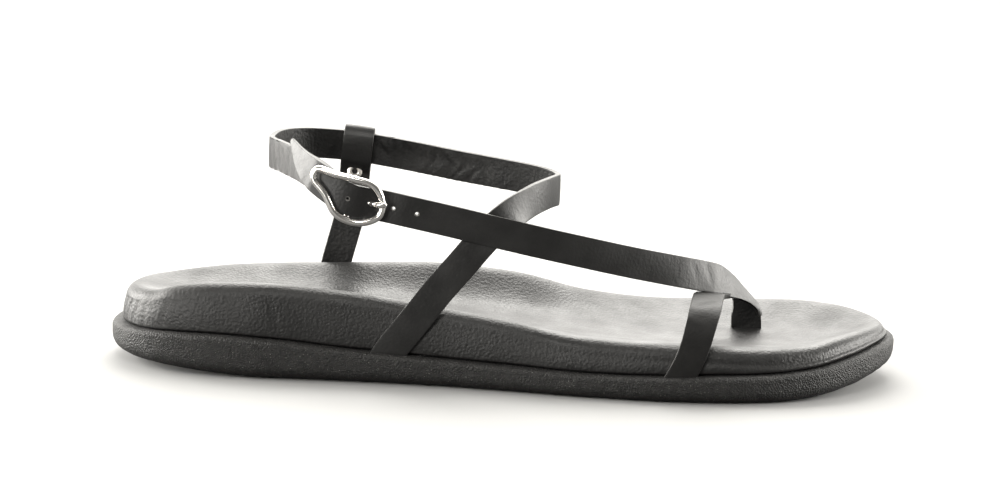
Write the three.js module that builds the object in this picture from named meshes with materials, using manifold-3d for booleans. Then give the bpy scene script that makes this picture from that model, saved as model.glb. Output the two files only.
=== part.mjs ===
// A flat leather sandal for the right foot, in millimetres. Toe along +X, inner side along +Y, up along +Z.
import * as THREE from 'three';
import { mergeVertices } from 'three/addons/utils/BufferGeometryUtils.js';
import Module from 'manifold-3d';

const wasm = await Module();
wasm.setup();

// Sole
const outsoleLength = 265;
const ballWidth = 97;
const soleHeight = 14;        // thickness of the outsole at the heel
const soleRounding = 5;       // radius of its lower edge
const soleLip = 1.6;          // radius of its upper edge
const toeSpring = 6.5;        // how far the toe tip is off the floor
const footbedHeight = 30;     // rim of the footbed at the heel, above the floor
const rimRadius = 4.5;        // rounding of the footbed's rim
const rimShare = 0.75;        // most of the wall's height that this rounding takes where the wall is low
const baseRounding = 0.8;     // rounding of the footbed's lower edge
const wallLean = 0.9;         // how far the footbed's wall leans in on its way up
const heelRun = 30;           // length of the round heel and toe, over which the bowl fans out

// Straps
const ankleHeight = 75;       // upper edge of the ankle strap, above the floor
const toeStrapHeight = 30;    // crown of the toe strap, above the floor
const strapWidth = 10.3;
const strapThickness = 1.8;
const skivedThickness = 1.1;  // a strap's end, thinned where it folds round the bar
const foldSlack = 0.3;        // how loosely it goes round
const strapChamfer = 0.25;
const tuckDepth = 3;          // how far a strap's foot reaches below the seam
const strapPress = 0.15;      // how far a strap's foot presses into the footbed's wall
const joinOverlap = 0.3;      // depth of the bond where two straps cross
const thongSlotDepth = 3;     // how far the thong reaches into the footbed
const thongStep = 0.08;       // share by which its outer layer is narrower and shorter than its inner one

// Keeper loop of the side strap, below the middle of the ankle strap: shares of the strap's width
const loopStraight = 0.4;     // how far up each side of the loop is straight
const flapBend = 0.45;        // where the folded end starts back to the strap
const rivetDrop = 0.84;
const flapDrop = 1.15;        // where the folded end stops
const sideBend = 2.2;         // where the strap bends out round the ankle
const sideLean = 1.35;        // and how far, as a share of the layer that the two straps make

// Buckle and rivet
const buckleLength = 24.8;
const buckleHeight = 13.8;
const buckleTilt = 8;         // degrees between the buckle and the strap that it closes
const buckleBend = 1.6;       // how far the buckle's heel end curves in towards the ankle
const weaveDip = 1.0;         // how far the strap dips under both ends of the buckle
const wireRadius = 1.0;
const wireGap = 0.85;         // between the frame and the strap that passes under its ends
const barRadius = 0.8;
const prongRadius = 0.55;
const prongEyeClearance = 0.2;
const holeRadius = 1.0;
const holePitch = 7.7;
const prongHoleRun = 6.9;     // from the bar to the hole that the prong stands in
const rivetRadius = 2.9;
const rivetBarrel = 1.6;
const rivetDome = 0.9;

// Fit
const clearance = 0.3;
const outlineSteps = 40;      // stations along each side of the sole
const shortestEdge = 0.01;    // shorter edges are closed up where pieces are joined

// Plan and side of the sole: station is a share of the length, middle and half of the ball width,
// ledge and seam of the sole height, under of the toe spring.
const soleSections = [
  { station: 0.0, middle: 0.0, half: 0.0, ledge: 0.25, seam: 0.86, under: 0.46 },
  { station: 0.04, middle: 0.0, half: 0.25, ledge: 0.26, seam: 0.93, under: 0.4 },
  { station: 0.08, middle: 0.0, half: 0.315, ledge: 0.27, seam: 0.97, under: 0.29 },
  { station: 0.14, middle: 0.0, half: 0.352, ledge: 0.28, seam: 0.99, under: 0.12 },
  { station: 0.2, middle: -0.003, half: 0.363, ledge: 0.28, seam: 0.95, under: 0.0 },
  { station: 0.3, middle: -0.015, half: 0.356, ledge: 0.28, seam: 0.8, under: 0.0 },
  { station: 0.4, middle: -0.026, half: 0.363, ledge: 0.28, seam: 0.69, under: 0.0 },
  { station: 0.5, middle: -0.031, half: 0.397, ledge: 0.28, seam: 0.62, under: 0.0 },
  { station: 0.6, middle: -0.027, half: 0.448, ledge: 0.28, seam: 0.56, under: 0.0 },
  { station: 0.7, middle: -0.016, half: 0.49, ledge: 0.27, seam: 0.6, under: 0.0 },
  { station: 0.755, middle: -0.008, half: 0.498, ledge: 0.25, seam: 0.65, under: 0.0 },
  { station: 0.83, middle: 0.0, half: 0.474, ledge: 0.22, seam: 0.68, under: 0.0 },
  { station: 0.89, middle: 0.012, half: 0.42, ledge: 0.2, seam: 0.76, under: 0.12 },
  { station: 0.945, middle: 0.027, half: 0.31, ledge: 0.19, seam: 0.93, under: 0.42 },
  { station: 0.98, middle: 0.04, half: 0.19, ledge: 0.19, seam: 1.03, under: 0.75 },
  { station: 1.0, middle: 0.042, half: 0.0, ledge: 0.19, seam: 1.07, under: 1.0 },
];

// Rim of the footbed on both sides and floor of its bowl, as shares of the footbed height
const footbedSections = [
  { station: 0.0, outerRim: 0.82, innerRim: 0.82, floor: 0.7 },
  { station: 0.04, outerRim: 0.86, innerRim: 0.82, floor: 0.7 },
  { station: 0.08, outerRim: 0.95, innerRim: 0.84, floor: 0.71 },
  { station: 0.14, outerRim: 1.01, innerRim: 0.885, floor: 0.74 },
  { station: 0.2, outerRim: 1.03, innerRim: 0.915, floor: 0.755 },
  { station: 0.3, outerRim: 0.97, innerRim: 0.97, floor: 0.74 },
  { station: 0.4, outerRim: 0.86, innerRim: 1.0, floor: 0.69 },
  { station: 0.5, outerRim: 0.74, innerRim: 0.92, floor: 0.6 },
  { station: 0.6, outerRim: 0.61, innerRim: 0.69, floor: 0.505 },
  { station: 0.7, outerRim: 0.595, innerRim: 0.59, floor: 0.46 },
  { station: 0.755, outerRim: 0.59, innerRim: 0.585, floor: 0.455 },
  { station: 0.83, outerRim: 0.565, innerRim: 0.605, floor: 0.455 },
  { station: 0.89, outerRim: 0.57, innerRim: 0.64, floor: 0.47 },
  { station: 0.945, outerRim: 0.625, innerRim: 0.655, floor: 0.5 },
  { station: 0.98, outerRim: 0.635, innerRim: 0.63, floor: 0.52 },
  { station: 1.0, outerRim: 0.62, innerRim: 0.62, floor: 0.53 },
];

// The bowl between the rim and its middle: reach is how far in, rise how much of the rim's height is left
const bowlSteps = [
  { reach: 0.1, rise: 0.93 },
  { reach: 0.24, rise: 0.68 },
  { reach: 0.42, rise: 0.36 },
  { reach: 0.65, rise: 0.1 },
];

// Centre line of the ankle strap from its foot to the buckle: along is a share of the length, across of
// the ball width, up of the ankle height. The face columns are the direction of its grain side.
const ankleStrapRows = [
  { along: 0.416, across: -0.348, up: 0.429, faceX: 0, faceY: -1, faceZ: 0.08 },
  { along: 0.44, across: -0.332, up: 0.538, faceX: 0.02, faceY: -1, faceZ: 0.12 },
  { along: 0.467, across: -0.306, up: 0.634, faceX: 0.06, faceY: -1, faceZ: 0.15 },
  { along: 0.481, across: -0.289, up: 0.686, faceX: 0.12, faceY: -1, faceZ: 0.16 },
  { along: 0.502, across: -0.252, up: 0.748, faceX: 0.35, faceY: -0.9, faceZ: 0.15 },
  { along: 0.531, across: -0.155, up: 0.798, faceX: 0.75, faceY: -0.65, faceZ: 0.05 },
  { along: 0.552, across: -0.062, up: 0.815, faceX: 0.95, faceY: -0.3, faceZ: 0 },
  { along: 0.562, across: 0.005, up: 0.815, faceX: 1, faceY: 0, faceZ: 0 },
  { along: 0.558, across: 0.06, up: 0.815, faceX: 0.75, faceY: 0.65, faceZ: 0 },
  { along: 0.54, across: 0.105, up: 0.826, faceX: 0.4, faceY: 0.9, faceZ: 0.02 },
  { along: 0.488, across: 0.167, up: 0.844, faceX: 0.3, faceY: 0.95, faceZ: 0.03 },
  { along: 0.436, across: 0.216, up: 0.861, faceX: 0.25, faceY: 0.97, faceZ: 0.03 },
  { along: 0.37, across: 0.26, up: 0.89, faceX: 0.18, faceY: 0.98, faceZ: 0.02 },
  { along: 0.303, across: 0.284, up: 0.919, faceX: 0.03, faceY: 1, faceZ: 0 },
  { along: 0.264, across: 0.278, up: 0.929, faceX: -0.2, faceY: 0.98, faceZ: 0 },
  { along: 0.23, across: 0.24, up: 0.938, faceX: -0.6, faceY: 0.8, faceZ: 0 },
  { along: 0.207, across: 0.155, up: 0.943, faceX: -0.93, faceY: 0.4, faceZ: 0 },
  { along: 0.198, across: 0.045, up: 0.94, faceX: -1, faceY: 0, faceZ: 0 },
  { along: 0.202, across: -0.045, up: 0.946, faceX: -0.95, faceY: -0.3, faceZ: 0 },
  { along: 0.213, across: -0.105, up: 0.947, faceX: -0.82, faceY: -0.57, faceZ: 0 },
  { along: 0.225, across: -0.156, up: 0.942, faceX: -0.72, faceY: -0.7, faceZ: 0 },
  { along: 0.2395, across: -0.211, up: 0.932, faceX: -0.6, faceY: -0.8, faceZ: 0 },
  { along: 0.2515, across: -0.252, up: 0.92, faceX: -0.48, faceY: -0.88, faceZ: 0 },
  { along: 0.263, across: -0.284, up: 0.905, faceX: -0.33, faceY: -0.94, faceZ: 0 },
];
const keeperRow = 13;

// The free end of the instep strap, from its tip to the buckle, in the same columns and with its width
// as a share of the strap's.
const freeEndRows = [
  { along: 0.229, across: -0.176, up: 1.0345, faceX: -0.68, faceY: -0.73, faceZ: 0.08, width: 0.12 },
  { along: 0.2356, across: -0.208, up: 0.997, faceX: -0.62, faceY: -0.78, faceZ: 0.06, width: 0.38 },
  { along: 0.2436, across: -0.244, up: 0.959, faceX: -0.53, faceY: -0.85, faceZ: 0.03, width: 0.68 },
  { along: 0.2533, across: -0.281, up: 0.927, faceX: -0.42, faceY: -0.91, faceZ: 0, width: 0.92 },
  { along: 0.2635, across: -0.311, up: 0.902, faceX: -0.3, faceY: -0.95, faceZ: 0, width: 1 },
];

// Where the buckle sits on the instep strap, and the strap's next row, which gives its direction there
const buckleRow = { along: 0.305, across: -0.342, up: 0.818 };
const afterBuckleRow = { along: 0.332, across: -0.34, up: 0.8 };

// Centre line of the instep strap from the buckle to the top of the toe fold
const instepStrapRows = [
  { along: 0.375, across: -0.333, up: 0.772, faceX: 0, faceY: -1, faceZ: 0 },
  { along: 0.425, across: -0.323, up: 0.735, faceX: 0.02, faceY: -1, faceZ: 0.02 },
  { along: 0.481, across: -0.305, up: 0.689, faceX: 0.05, faceY: -1, faceZ: 0.03 },
  { along: 0.54, across: -0.281, up: 0.641, faceX: 0.1, faceY: -1, faceZ: 0.03 },
  { along: 0.6, across: -0.244, up: 0.592, faceX: 0.18, faceY: -0.97, faceZ: 0.06 },
  { along: 0.66, across: -0.193, up: 0.54, faceX: 0.28, faceY: -0.93, faceZ: 0.16 },
  { along: 0.72, across: -0.129, up: 0.491, faceX: 0.4, faceY: -0.87, faceZ: 0.27 },
  { along: 0.756, across: -0.075, up: 0.453, faceX: 0.5, faceY: -0.8, faceZ: 0.32 },
  { along: 0.785, across: -0.012, up: 0.427, faceX: 0.55, faceY: -0.77, faceZ: 0.32 },
  { along: 0.798, across: 0.021, up: 0.404, faceX: 0.77, faceY: -0.23, faceZ: 0.59 },
  { along: 0.805, across: 0.059, up: 0.367, faceX: 0.67, faceY: 0.41, faceZ: 0.62 },
  { along: 0.808, across: 0.088, up: 0.311, faceX: 0.3, faceY: 0.87, faceZ: 0.39 },
  { along: 0.81, across: 0.098, up: 0.245, faceX: -0.1, faceY: 0.98, faceZ: 0 },
];

// Centre line of the toe strap from the rim to the thong: up is a share of the toe strap height.
const toeStrapRows = [
  { along: 0.738, across: -0.448, up: 0.85, faceX: 0, faceY: -0.95, faceZ: 0.3 },
  { along: 0.746, across: -0.39, up: 0.965, faceX: 0, faceY: -0.62, faceZ: 0.78 },
  { along: 0.752, across: -0.28, up: 1.0, faceX: 0, faceY: -0.1, faceZ: 1 },
  { along: 0.757, across: -0.155, up: 0.98, faceX: 0, faceY: 0.1, faceZ: 1 },
  { along: 0.763, across: -0.062, up: 0.945, faceX: 0.05, faceY: 0.1, faceZ: 1 },
  { along: 0.779, across: 0.015, up: 0.925, faceX: 0.2, faceY: 0.25, faceZ: 0.95 },
  { along: 0.796, across: 0.056, up: 0.85, faceX: 0.4, faceY: 0.65, faceZ: 0.65 },
  { along: 0.806, across: 0.078, up: 0.68, faceX: 0.1, faceY: 0.95, faceZ: 0.25 },
];
const thongStation = 0.8125;
const thongAcross = 0.096;

// Stations at which the three straps' feet stand in the seam, and where they pass the rim.
const ankleFoot = { side: -1, seamStation: 0.357, rimStation: 0.38 };
const toeFoot = { side: -1, seamStation: 0.719, rimStation: 0.7285 };
const sideFoot = { side: 1, seamStation: 0.272, rimStation: 0.276 };

// Outline of the buckle's wire, from the heel-side corner round by the top: run is a share of the
// buckle's length, rise of its height.
const buckleOutline = [
  { run: -0.545, rise: 0.4 },
  { run: -0.3, rise: 0.445 },
  { run: -0.04, rise: 0.5 },
  { run: 0.18, rise: 0.52 },
  { run: 0.32, rise: 0.41 },
  { run: 0.44, rise: 0.08 },
  { run: 0.42, rise: -0.17 },
  { run: 0.25, rise: -0.42 },
  { run: 0.05, rise: -0.49 },
  { run: -0.13, rise: -0.42 },
  { run: -0.34, rise: -0.08 },
  { run: -0.55, rise: 0.17 },
];

// Where the straps pass the buckle, in the same shares
const crossings = {
  freeEnd: { run: -0.25, rise: 0.13 },
  roundEnd: { run: 0.45, rise: 0 },
  heelEnd: { run: -0.25, rise: 0.1 },
  foldEnd: { run: -0.2, rise: 0.08 },
};
const heelFace = new THREE.Vector3(-0.12, -1, 0);

// The prong from its eye to its tip: run is a share of the way to its hole
const prongRows = [
  { run: 0.45, rise: 0 },
  { run: 0.8, rise: 0 },
  { run: 1, rise: 0.2 },
  { run: 1.47, rise: 0.8 },
  { run: 1.73, rise: 1.1 },
];

// A rivet's head from its edge to its bore, as shares of its radius and of its dome
const rivetHead = [
  { radius: 1, rise: 0 },
  { radius: 0.9, rise: 0.7 },
  { radius: 0.7, rise: 1 },
  { radius: 0.33, rise: 0.5 },
];

// Materials
const leather = new THREE.MeshStandardMaterial({ color: 0x1b1a1a, roughness: 0.55, metalness: 0 });
const footbedLeather = new THREE.MeshStandardMaterial({ color: 0x232222, roughness: 0.5, metalness: 0 });
const rubber = new THREE.MeshStandardMaterial({ color: 0x191919, roughness: 0.85, metalness: 0 });
const metal = new THREE.MeshStandardMaterial({ color: 0xd8d2c4, roughness: 0.2, metalness: 1 });

// Closed solids
function solidFrom(geometry) {
  const bare = geometry.index ? geometry.toNonIndexed() : geometry.clone();
  bare.deleteAttribute('normal');
  bare.deleteAttribute('uv');
  const merged = mergeVertices(bare, 1e-5);
  const index = merged.index.array;
  const kept = [];
  for (let i = 0; i < index.length; i += 3) {
    const [a, b, c] = [index[i], index[i + 1], index[i + 2]];
    if (a !== b && b !== c && c !== a) kept.push(a, b, c);
  }
  return new wasm.Manifold(new wasm.Mesh({
    numProp: 3,
    vertProperties: new Float32Array(merged.attributes.position.array),
    triVerts: new Uint32Array(kept),
    tolerance: shortestEdge,
  }));
}

function meshFrom(name, solid, material) {
  const { vertProperties, triVerts } = solid.getMesh();
  const geometry = new THREE.BufferGeometry();
  geometry.setAttribute('position', new THREE.BufferAttribute(new Float32Array(vertProperties), 3));
  geometry.setIndex(new THREE.BufferAttribute(new Uint32Array(triVerts), 1));
  const mesh = new THREE.Mesh(geometry, material);
  mesh.name = name;
  return mesh;
}

// A skin of quads over rings of points; each ring runs anticlockwise seen against the loft's direction.
function loftGeometry(rings, { capped = false, looped = false } = {}) {
  const positions = [];
  const triangle = (a, b, c) => positions.push(...a.toArray(), ...b.toArray(), ...c.toArray());
  const last = looped ? rings.length : rings.length - 1;
  for (let j = 0; j < last; j += 1) {
    const lower = rings[j];
    const upper = rings[(j + 1) % rings.length];
    for (let k = 0; k < lower.length; k += 1) {
      const next = (k + 1) % lower.length;
      triangle(lower[k], lower[next], upper[next]);
      triangle(lower[k], upper[next], upper[k]);
    }
  }
  if (capped) {
    const first = rings[0];
    const end = rings[rings.length - 1];
    for (let k = 1; k < first.length - 1; k += 1) {
      triangle(first[0], first[k + 1], first[k]);
      triangle(end[0], end[k], end[k + 1]);
    }
  }
  const geometry = new THREE.BufferGeometry();
  geometry.setAttribute('position', new THREE.Float32BufferAttribute(positions, 3));
  return geometry;
}

// Sole: smooth columns of the section table, without overshoot between its rows
function column(rows, name, size) {
  const at = rows.map((row) => Math.acos(1 - 2 * row.station));
  const value = rows.map((row) => row[name] * size);
  const rise = value.slice(1).map((v, i) => (v - value[i]) / (at[i + 1] - at[i]));
  const slope = value.map((_, i) => {
    if (i === 0) return rise[0];
    if (i === value.length - 1) return rise[i - 1];
    return rise[i - 1] * rise[i] > 0 ? 2 / (1 / rise[i - 1] + 1 / rise[i]) : 0;
  });
  return (station) => {
    const angle = Math.acos(1 - 2 * THREE.MathUtils.clamp(station, 0, 1));
    let i = 0;
    while (i < at.length - 2 && angle > at[i + 1]) i += 1;
    const width = at[i + 1] - at[i];
    const t = (angle - at[i]) / width;
    const ease = t * t * (3 - 2 * t);
    return value[i] * (1 - ease) + value[i + 1] * ease
      + width * (slope[i] * t * (1 - t) ** 2 - slope[i + 1] * t * t * (1 - t));
  };
}

const middle = column(soleSections, 'middle', ballWidth);
const half = column(soleSections, 'half', ballWidth);
const ledge = column(soleSections, 'ledge', soleHeight);
const seam = column(soleSections, 'seam', soleHeight);
const under = column(soleSections, 'under', toeSpring);
const outerRim = column(footbedSections, 'outerRim', footbedHeight);
const innerRim = column(footbedSections, 'innerRim', footbedHeight);
const bowlFloor = column(footbedSections, 'floor', footbedHeight);

// Points round the outline, outer side first, each with its outward direction in plan
function outlinePoints(steps) {
  const stations = Array.from({ length: steps + 1 }, (_, i) => (1 - Math.cos((Math.PI * i) / steps)) / 2);
  const round = [
    ...stations.map((station) => ({ station, side: -1 })),
    ...stations.slice(1, -1).reverse().map((station) => ({ station, side: 1 })),
  ];
  const places = round.map(({ station, side }) => new THREE.Vector2(
    station * outsoleLength,
    middle(station) + side * half(station),
  ));
  return round.map((point, k) => {
    const ahead = places[(k + 1) % places.length];
    const behind = places[(k + places.length - 1) % places.length];
    const run = ahead.clone().sub(behind).normalize();
    return { ...point, place: places[k], outward: new THREE.Vector2(run.y, -run.x) };
  });
}

const outline = outlinePoints(outlineSteps);

function insetRing(inset, height) {
  return outline.map((point) => {
    const place = point.place.clone().addScaledVector(point.outward, -inset(point));
    return new THREE.Vector3(place.x, place.y, height(point));
  });
}

// The line along the middle of the sole that the bottom and the bowl close on
function spineStation(point) {
  const run = heelRun / outsoleLength;
  return THREE.MathUtils.clamp(point.station, run, 1 - run);
}

function spineRing(height) {
  return outline.map((point) => {
    const station = spineStation(point);
    return new THREE.Vector3(station * outsoleLength, middle(station), height(station));
  });
}

function blendRings(from, to, reach, rise) {
  return from.map((point, k) => {
    const blend = point.clone().lerp(to[k], reach);
    blend.z = THREE.MathUtils.lerp(to[k].z, point.z, rise);
    return blend;
  });
}

// A ring on the footbed's wall; the lowest one is also where the outsole's top starts inwards
function wallRing(lean, height) {
  return insetRing((point) => ledge(point.station) + lean, height);
}

function buildOutsole() {
  const corner = (angle, radius) => radius * (1 - Math.cos(THREE.MathUtils.degToRad(angle)));
  const thickness = (point) => seam(point.station) - under(point.station);
  const rounding = (point) => Math.min(soleRounding, thickness(point) / 2);
  const lowerEdge = [90, 60, 35, 15, 0].map((angle) => insetRing(
    (point) => corner(angle, rounding(point)),
    (point) => under(point.station) + corner(90 - angle, rounding(point)),
  ));
  const upperEdge = [0, 30, 60, 90].map((angle) => insetRing(
    () => corner(angle, soleLip),
    (point) => seam(point.station) - corner(90 - angle, soleLip),
  ));
  const top = wallRing(baseRounding, (point) => seam(point.station));
  return solidFrom(loftGeometry([spineRing(under), ...lowerEdge, ...upperEdge, top, spineRing(seam)]));
}

function buildFootbed() {
  const base = (point) => seam(point.station) + clearance;
  const crest = (point) => (point.side < 0 ? outerRim : innerRim)(point.station);
  const wallHeight = (point) => crest(point) - base(point) - baseRounding;
  const radius = (point) => Math.min(rimRadius, rimShare * wallHeight(point));
  const rounding = (angle) => {
    const turn = THREE.MathUtils.degToRad(angle);
    return insetRing(
      (point) => ledge(point.station) + wallLean + radius(point) * (1 - Math.cos(turn)),
      (point) => crest(point) - radius(point) * (1 - Math.sin(turn)),
    );
  };
  const rim = [0, 25, 50, 72, 90].map(rounding);
  const inner = rim[rim.length - 1];
  const spine = spineRing(bowlFloor);
  const bowl = bowlSteps.map(({ reach, rise }) => blendRings(inner, spine, reach, rise));
  return solidFrom(loftGeometry([
    spineRing((station) => seam(station) + clearance),
    wallRing(baseRounding, base),
    wallRing(0, (point) => base(point) + baseRounding),
    ...rim,
    ...bowl,
    spine,
  ]));
}

// Straps: each row has a centre, the direction of its grain side, a thickness and a width
function place(entry, heightSize) {
  return new THREE.Vector3(entry.along * outsoleLength, entry.across * ballWidth, entry.up * heightSize);
}

function strapRow(entry, heightSize) {
  const { faceX, faceY, faceZ, width = 1 } = entry;
  const face = new THREE.Vector3(faceX, faceY, faceZ);
  return row(place(entry, heightSize), face, strapThickness, width * strapWidth);
}

function row(centre, face, thickness = strapThickness, width = strapWidth) {
  return { centre, face, thickness, width };
}

function footRows({ side, seamStation, rimStation }) {
  const crest = side < 0 ? outerRim : innerRim;
  const seamHeight = seam(seamStation);
  const rimHeight = crest(rimStation) - rimRadius;
  return [-tuckDepth, 0, rimHeight - seamHeight].map((rise) => {
    const share = rise / (rimHeight - seamHeight);
    const station = THREE.MathUtils.lerp(seamStation, rimStation, share);
    const wall = half(station) - ledge(station) + strapThickness / 2 - strapPress;
    const across = middle(station) + side * wall;
    const centre = new THREE.Vector3(station * outsoleLength, across, seamHeight + rise);
    return row(centre, new THREE.Vector3(0, side, 0));
  });
}

// The thong's rows stand in the footbed's slot; layer moves the second strap to the first one's outer side
function thongRows(layer) {
  const across = thongAcross * ballWidth - layer * (strapThickness - joinOverlap);
  const share = 1 - layer * thongStep;
  const slotFloor = bowlFloor(thongStation);
  return [0, -thongSlotDepth * share].map((rise) => row(
    new THREE.Vector3(thongStation * outsoleLength, across, slotFloor + rise),
    new THREE.Vector3(0, 1, 0),
    strapThickness,
    share * strapWidth,
  ));
}

function strapCurve(rows) {
  const centres = new THREE.CatmullRomCurve3(rows.map((row) => row.centre));
  const faces = new THREE.CatmullRomCurve3(rows.map((row) => row.face), false, 'catmullrom');
  const last = rows.length - 1;
  return (position) => {
    const share = THREE.MathUtils.clamp(position / last, 0, 1);
    const i = Math.min(Math.floor(position), last - 1);
    const along = centres.getTangent(share);
    const face = faces.getPoint(share);
    face.addScaledVector(along, -face.dot(along)).normalize();
    return {
      centre: centres.getPoint(share),
      along,
      face,
      across: face.clone().cross(along),
      thickness: THREE.MathUtils.lerp(rows[i].thickness, rows[i + 1].thickness, position - i),
      width: THREE.MathUtils.lerp(rows[i].width, rows[i + 1].width, position - i),
    };
  };
}

// The place on a strap that lies a distance further along it than one of its rows
function furtherAlong(curve, rowNumber, distance) {
  const step = 0.01 * Math.sign(distance);
  let position = rowNumber;
  let left = Math.abs(distance);
  while (left > 0) {
    left -= curve(position).centre.distanceTo(curve(position + step).centre);
    position += step;
  }
  return curve(position);
}

function strapSolid({ rows, stepsPerRow }, grow = 0) {
  const curve = strapCurve(rows);
  const steps = (rows.length - 1) * stepsPerRow;
  const rings = Array.from({ length: steps + 1 }, (_, i) => {
    const at = curve(i / stepsPerRow);
    const w = at.width / 2 + grow;
    const t = at.thickness / 2 + grow;
    const c = Math.min(strapChamfer, w / 2, t / 2);
    const corners = [
      [w, t - c], [w - c, t], [c - w, t], [-w, t - c],
      [-w, c - t], [c - w, -t], [w - c, -t], [w, c - t],
    ];
    const centre = at.centre.clone();
    if (i === 0) centre.addScaledVector(at.along, -grow);
    if (i === steps) centre.addScaledVector(at.along, grow);
    return corners.map(([across, out]) => centre.clone()
      .addScaledVector(at.across, across)
      .addScaledVector(at.face, out));
  });
  return solidFrom(loftGeometry(rings, { capped: true }));
}

// The buckle's own frame, on the instep strap: run along the strap, rise across it, out from its grain side
const buckleSeat = (() => {
  const origin = place(buckleRow, ankleHeight);
  const along = place(afterBuckleRow, ankleHeight).sub(origin).normalize();
  const out = new THREE.Vector3(0, -1, 0).addScaledVector(along, along.y).normalize();
  return { origin, along, out, rise: out.clone().cross(along) };
})();

function atBuckle(run, rise, out) {
  return buckleSeat.origin.clone()
    .addScaledVector(buckleSeat.along, run)
    .addScaledVector(buckleSeat.rise, rise)
    .addScaledVector(buckleSeat.out, out);
}

// Layers through the buckle, inwards from the instep strap over the bar
const barOut = -(strapThickness / 2 + clearance + skivedThickness + foldSlack + clearance + barRadius);
const wireOut = strapThickness / 2 - weaveDip + wireGap + wireRadius;
const foldRadius = barRadius + clearance + foldSlack + skivedThickness / 2;
const strapLayer = strapThickness + clearance;

function atCrossing({ run, rise }, out) {
  return atBuckle(run * buckleLength, rise * buckleHeight, out);
}

function instepRows() {
  const out = buckleSeat.out;
  return [
    ...freeEndRows.map((entry) => strapRow(entry, ankleHeight)),
    row(atCrossing(crossings.freeEnd, -weaveDip), heelFace.clone()),
    row(atBuckle(0, 0, 0), out.clone()),
    row(atCrossing(crossings.roundEnd, -weaveDip), out.clone()),
    ...instepStrapRows.map((entry) => strapRow(entry, ankleHeight)),
    ...thongRows(0),
  ];
}

function ankleRows() {
  const out = buckleSeat.out;
  const inward = out.clone().negate();
  const ring = ankleStrapRows.map((entry) => strapRow(entry, ankleHeight));
  return [
    ...footRows(ankleFoot),
    ...ring,
    row(atCrossing(crossings.heelEnd, -weaveDip - strapLayer), heelFace.clone()),
    row(atBuckle(-foldRadius, 0, barOut + foldRadius), out.clone(), skivedThickness),
    row(atBuckle(0, 0, barOut + foldRadius), out.clone(), skivedThickness),
    row(atBuckle(foldRadius, 0, barOut), buckleSeat.along.clone(), skivedThickness),
    row(atBuckle(0, 0, barOut - foldRadius), inward.clone(), skivedThickness),
    row(atCrossing(crossings.foldEnd, barOut - foldRadius), inward.clone(), skivedThickness),
  ];
}

function toeRows() {
  return [
    ...footRows(toeFoot),
    ...toeStrapRows.map((entry) => strapRow(entry, toeStrapHeight)),
    ...thongRows(1),
  ];
}

// The side strap stands outside the ankle strap, folds over its upper edge and comes down inside it
const keeper = (() => {
  const rows = [...footRows(ankleFoot), ...ankleStrapRows.map((entry) => strapRow(entry, ankleHeight))];
  const seat = strapCurve(rows)(keeperRow + 3);
  return { ...seat, rise: seat.across };
})();

function atKeeper(out, rise) {
  return keeper.centre.clone().addScaledVector(keeper.face, out).addScaledVector(keeper.rise, rise);
}

const loopTop = strapWidth / 2 + clearance + strapThickness / 2;
const loopCorner = loopStraight * strapWidth;
const rivetRise = -rivetDrop * strapWidth;
const flapOut = strapLayer - (strapThickness - joinOverlap);

function sideRows() {
  const outside = keeper.face;
  const inside = keeper.face.clone().negate();
  return [
    ...footRows(sideFoot),
    row(atKeeper(sideLean * strapLayer, -sideBend * strapWidth), outside.clone()),
    row(atKeeper(strapLayer, rivetRise), outside.clone()),
    row(atKeeper(strapLayer, 0), outside.clone()),
    row(atKeeper(strapLayer, loopCorner), outside.clone()),
    row(atKeeper(0, loopTop), keeper.rise.clone()),
    row(atKeeper(-strapLayer, loopCorner), inside.clone()),
    row(atKeeper(-strapLayer, -flapBend * strapWidth), inside.clone()),
    row(atKeeper((flapOut - strapLayer) / 2, (rivetRise - flapBend * strapWidth) / 2), inside.clone()),
    row(atKeeper(flapOut, rivetRise), inside.clone()),
    row(atKeeper(flapOut, -flapDrop * strapWidth), inside.clone()),
  ];
}

// Metal: a round wire along a path of points
function wireSolid(points, radius, { looped = false, sides = 8, steps = 48 } = {}) {
  const path = new THREE.CatmullRomCurve3(points, looped);
  const rings = [];
  const count = looped ? steps : steps + 1;
  let side = null;
  for (let i = 0; i < count; i += 1) {
    const along = path.getTangent(i / steps);
    const upright = Math.abs(along.z) > 0.9;
    const guess = side || new THREE.Vector3(upright ? 1 : 0, 0, upright ? 0 : 1);
    side = guess.clone().addScaledVector(along, -guess.dot(along)).normalize();
    const other = along.clone().cross(side);
    const centre = path.getPoint(i / steps);
    rings.push(Array.from({ length: sides }, (_, k) => {
      const angle = (2 * Math.PI * k) / sides;
      return centre.clone()
        .addScaledVector(side, radius * Math.cos(angle))
        .addScaledVector(other, radius * Math.sin(angle));
    }));
  }
  return solidFrom(loftGeometry(rings, { capped: !looped, looped }));
}

function barSolid() {
  const leg = buckleHeight / 2;
  return wireSolid([
    atBuckle(0, leg, wireOut),
    atBuckle(0, leg, barOut + 2 * barRadius),
    atBuckle(0, leg - barRadius, barOut),
    atBuckle(0, leg - 3 * barRadius, barOut),
    atBuckle(0, 0, barOut),
    atBuckle(0, 3 * barRadius - leg, barOut),
    atBuckle(0, barRadius - leg, barOut),
    atBuckle(0, -leg, barOut + 2 * barRadius),
    atBuckle(0, -leg, wireOut),
  ], barRadius, { steps: 24 });
}

function buildBuckle() {
  const tilt = THREE.MathUtils.degToRad(buckleTilt);
  const ring = buckleOutline.map((point) => {
    const run = point.run * buckleLength;
    const rise = point.rise * buckleHeight;
    const bend = buckleBend * Math.max(0, -2 * point.run) ** 2;
    return atBuckle(
      run * Math.cos(tilt) + rise * Math.sin(tilt),
      rise * Math.cos(tilt) - run * Math.sin(tilt),
      wireOut - bend,
    );
  });
  return wireSolid(ring, wireRadius, { looped: true }).add(barSolid());
}

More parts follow.
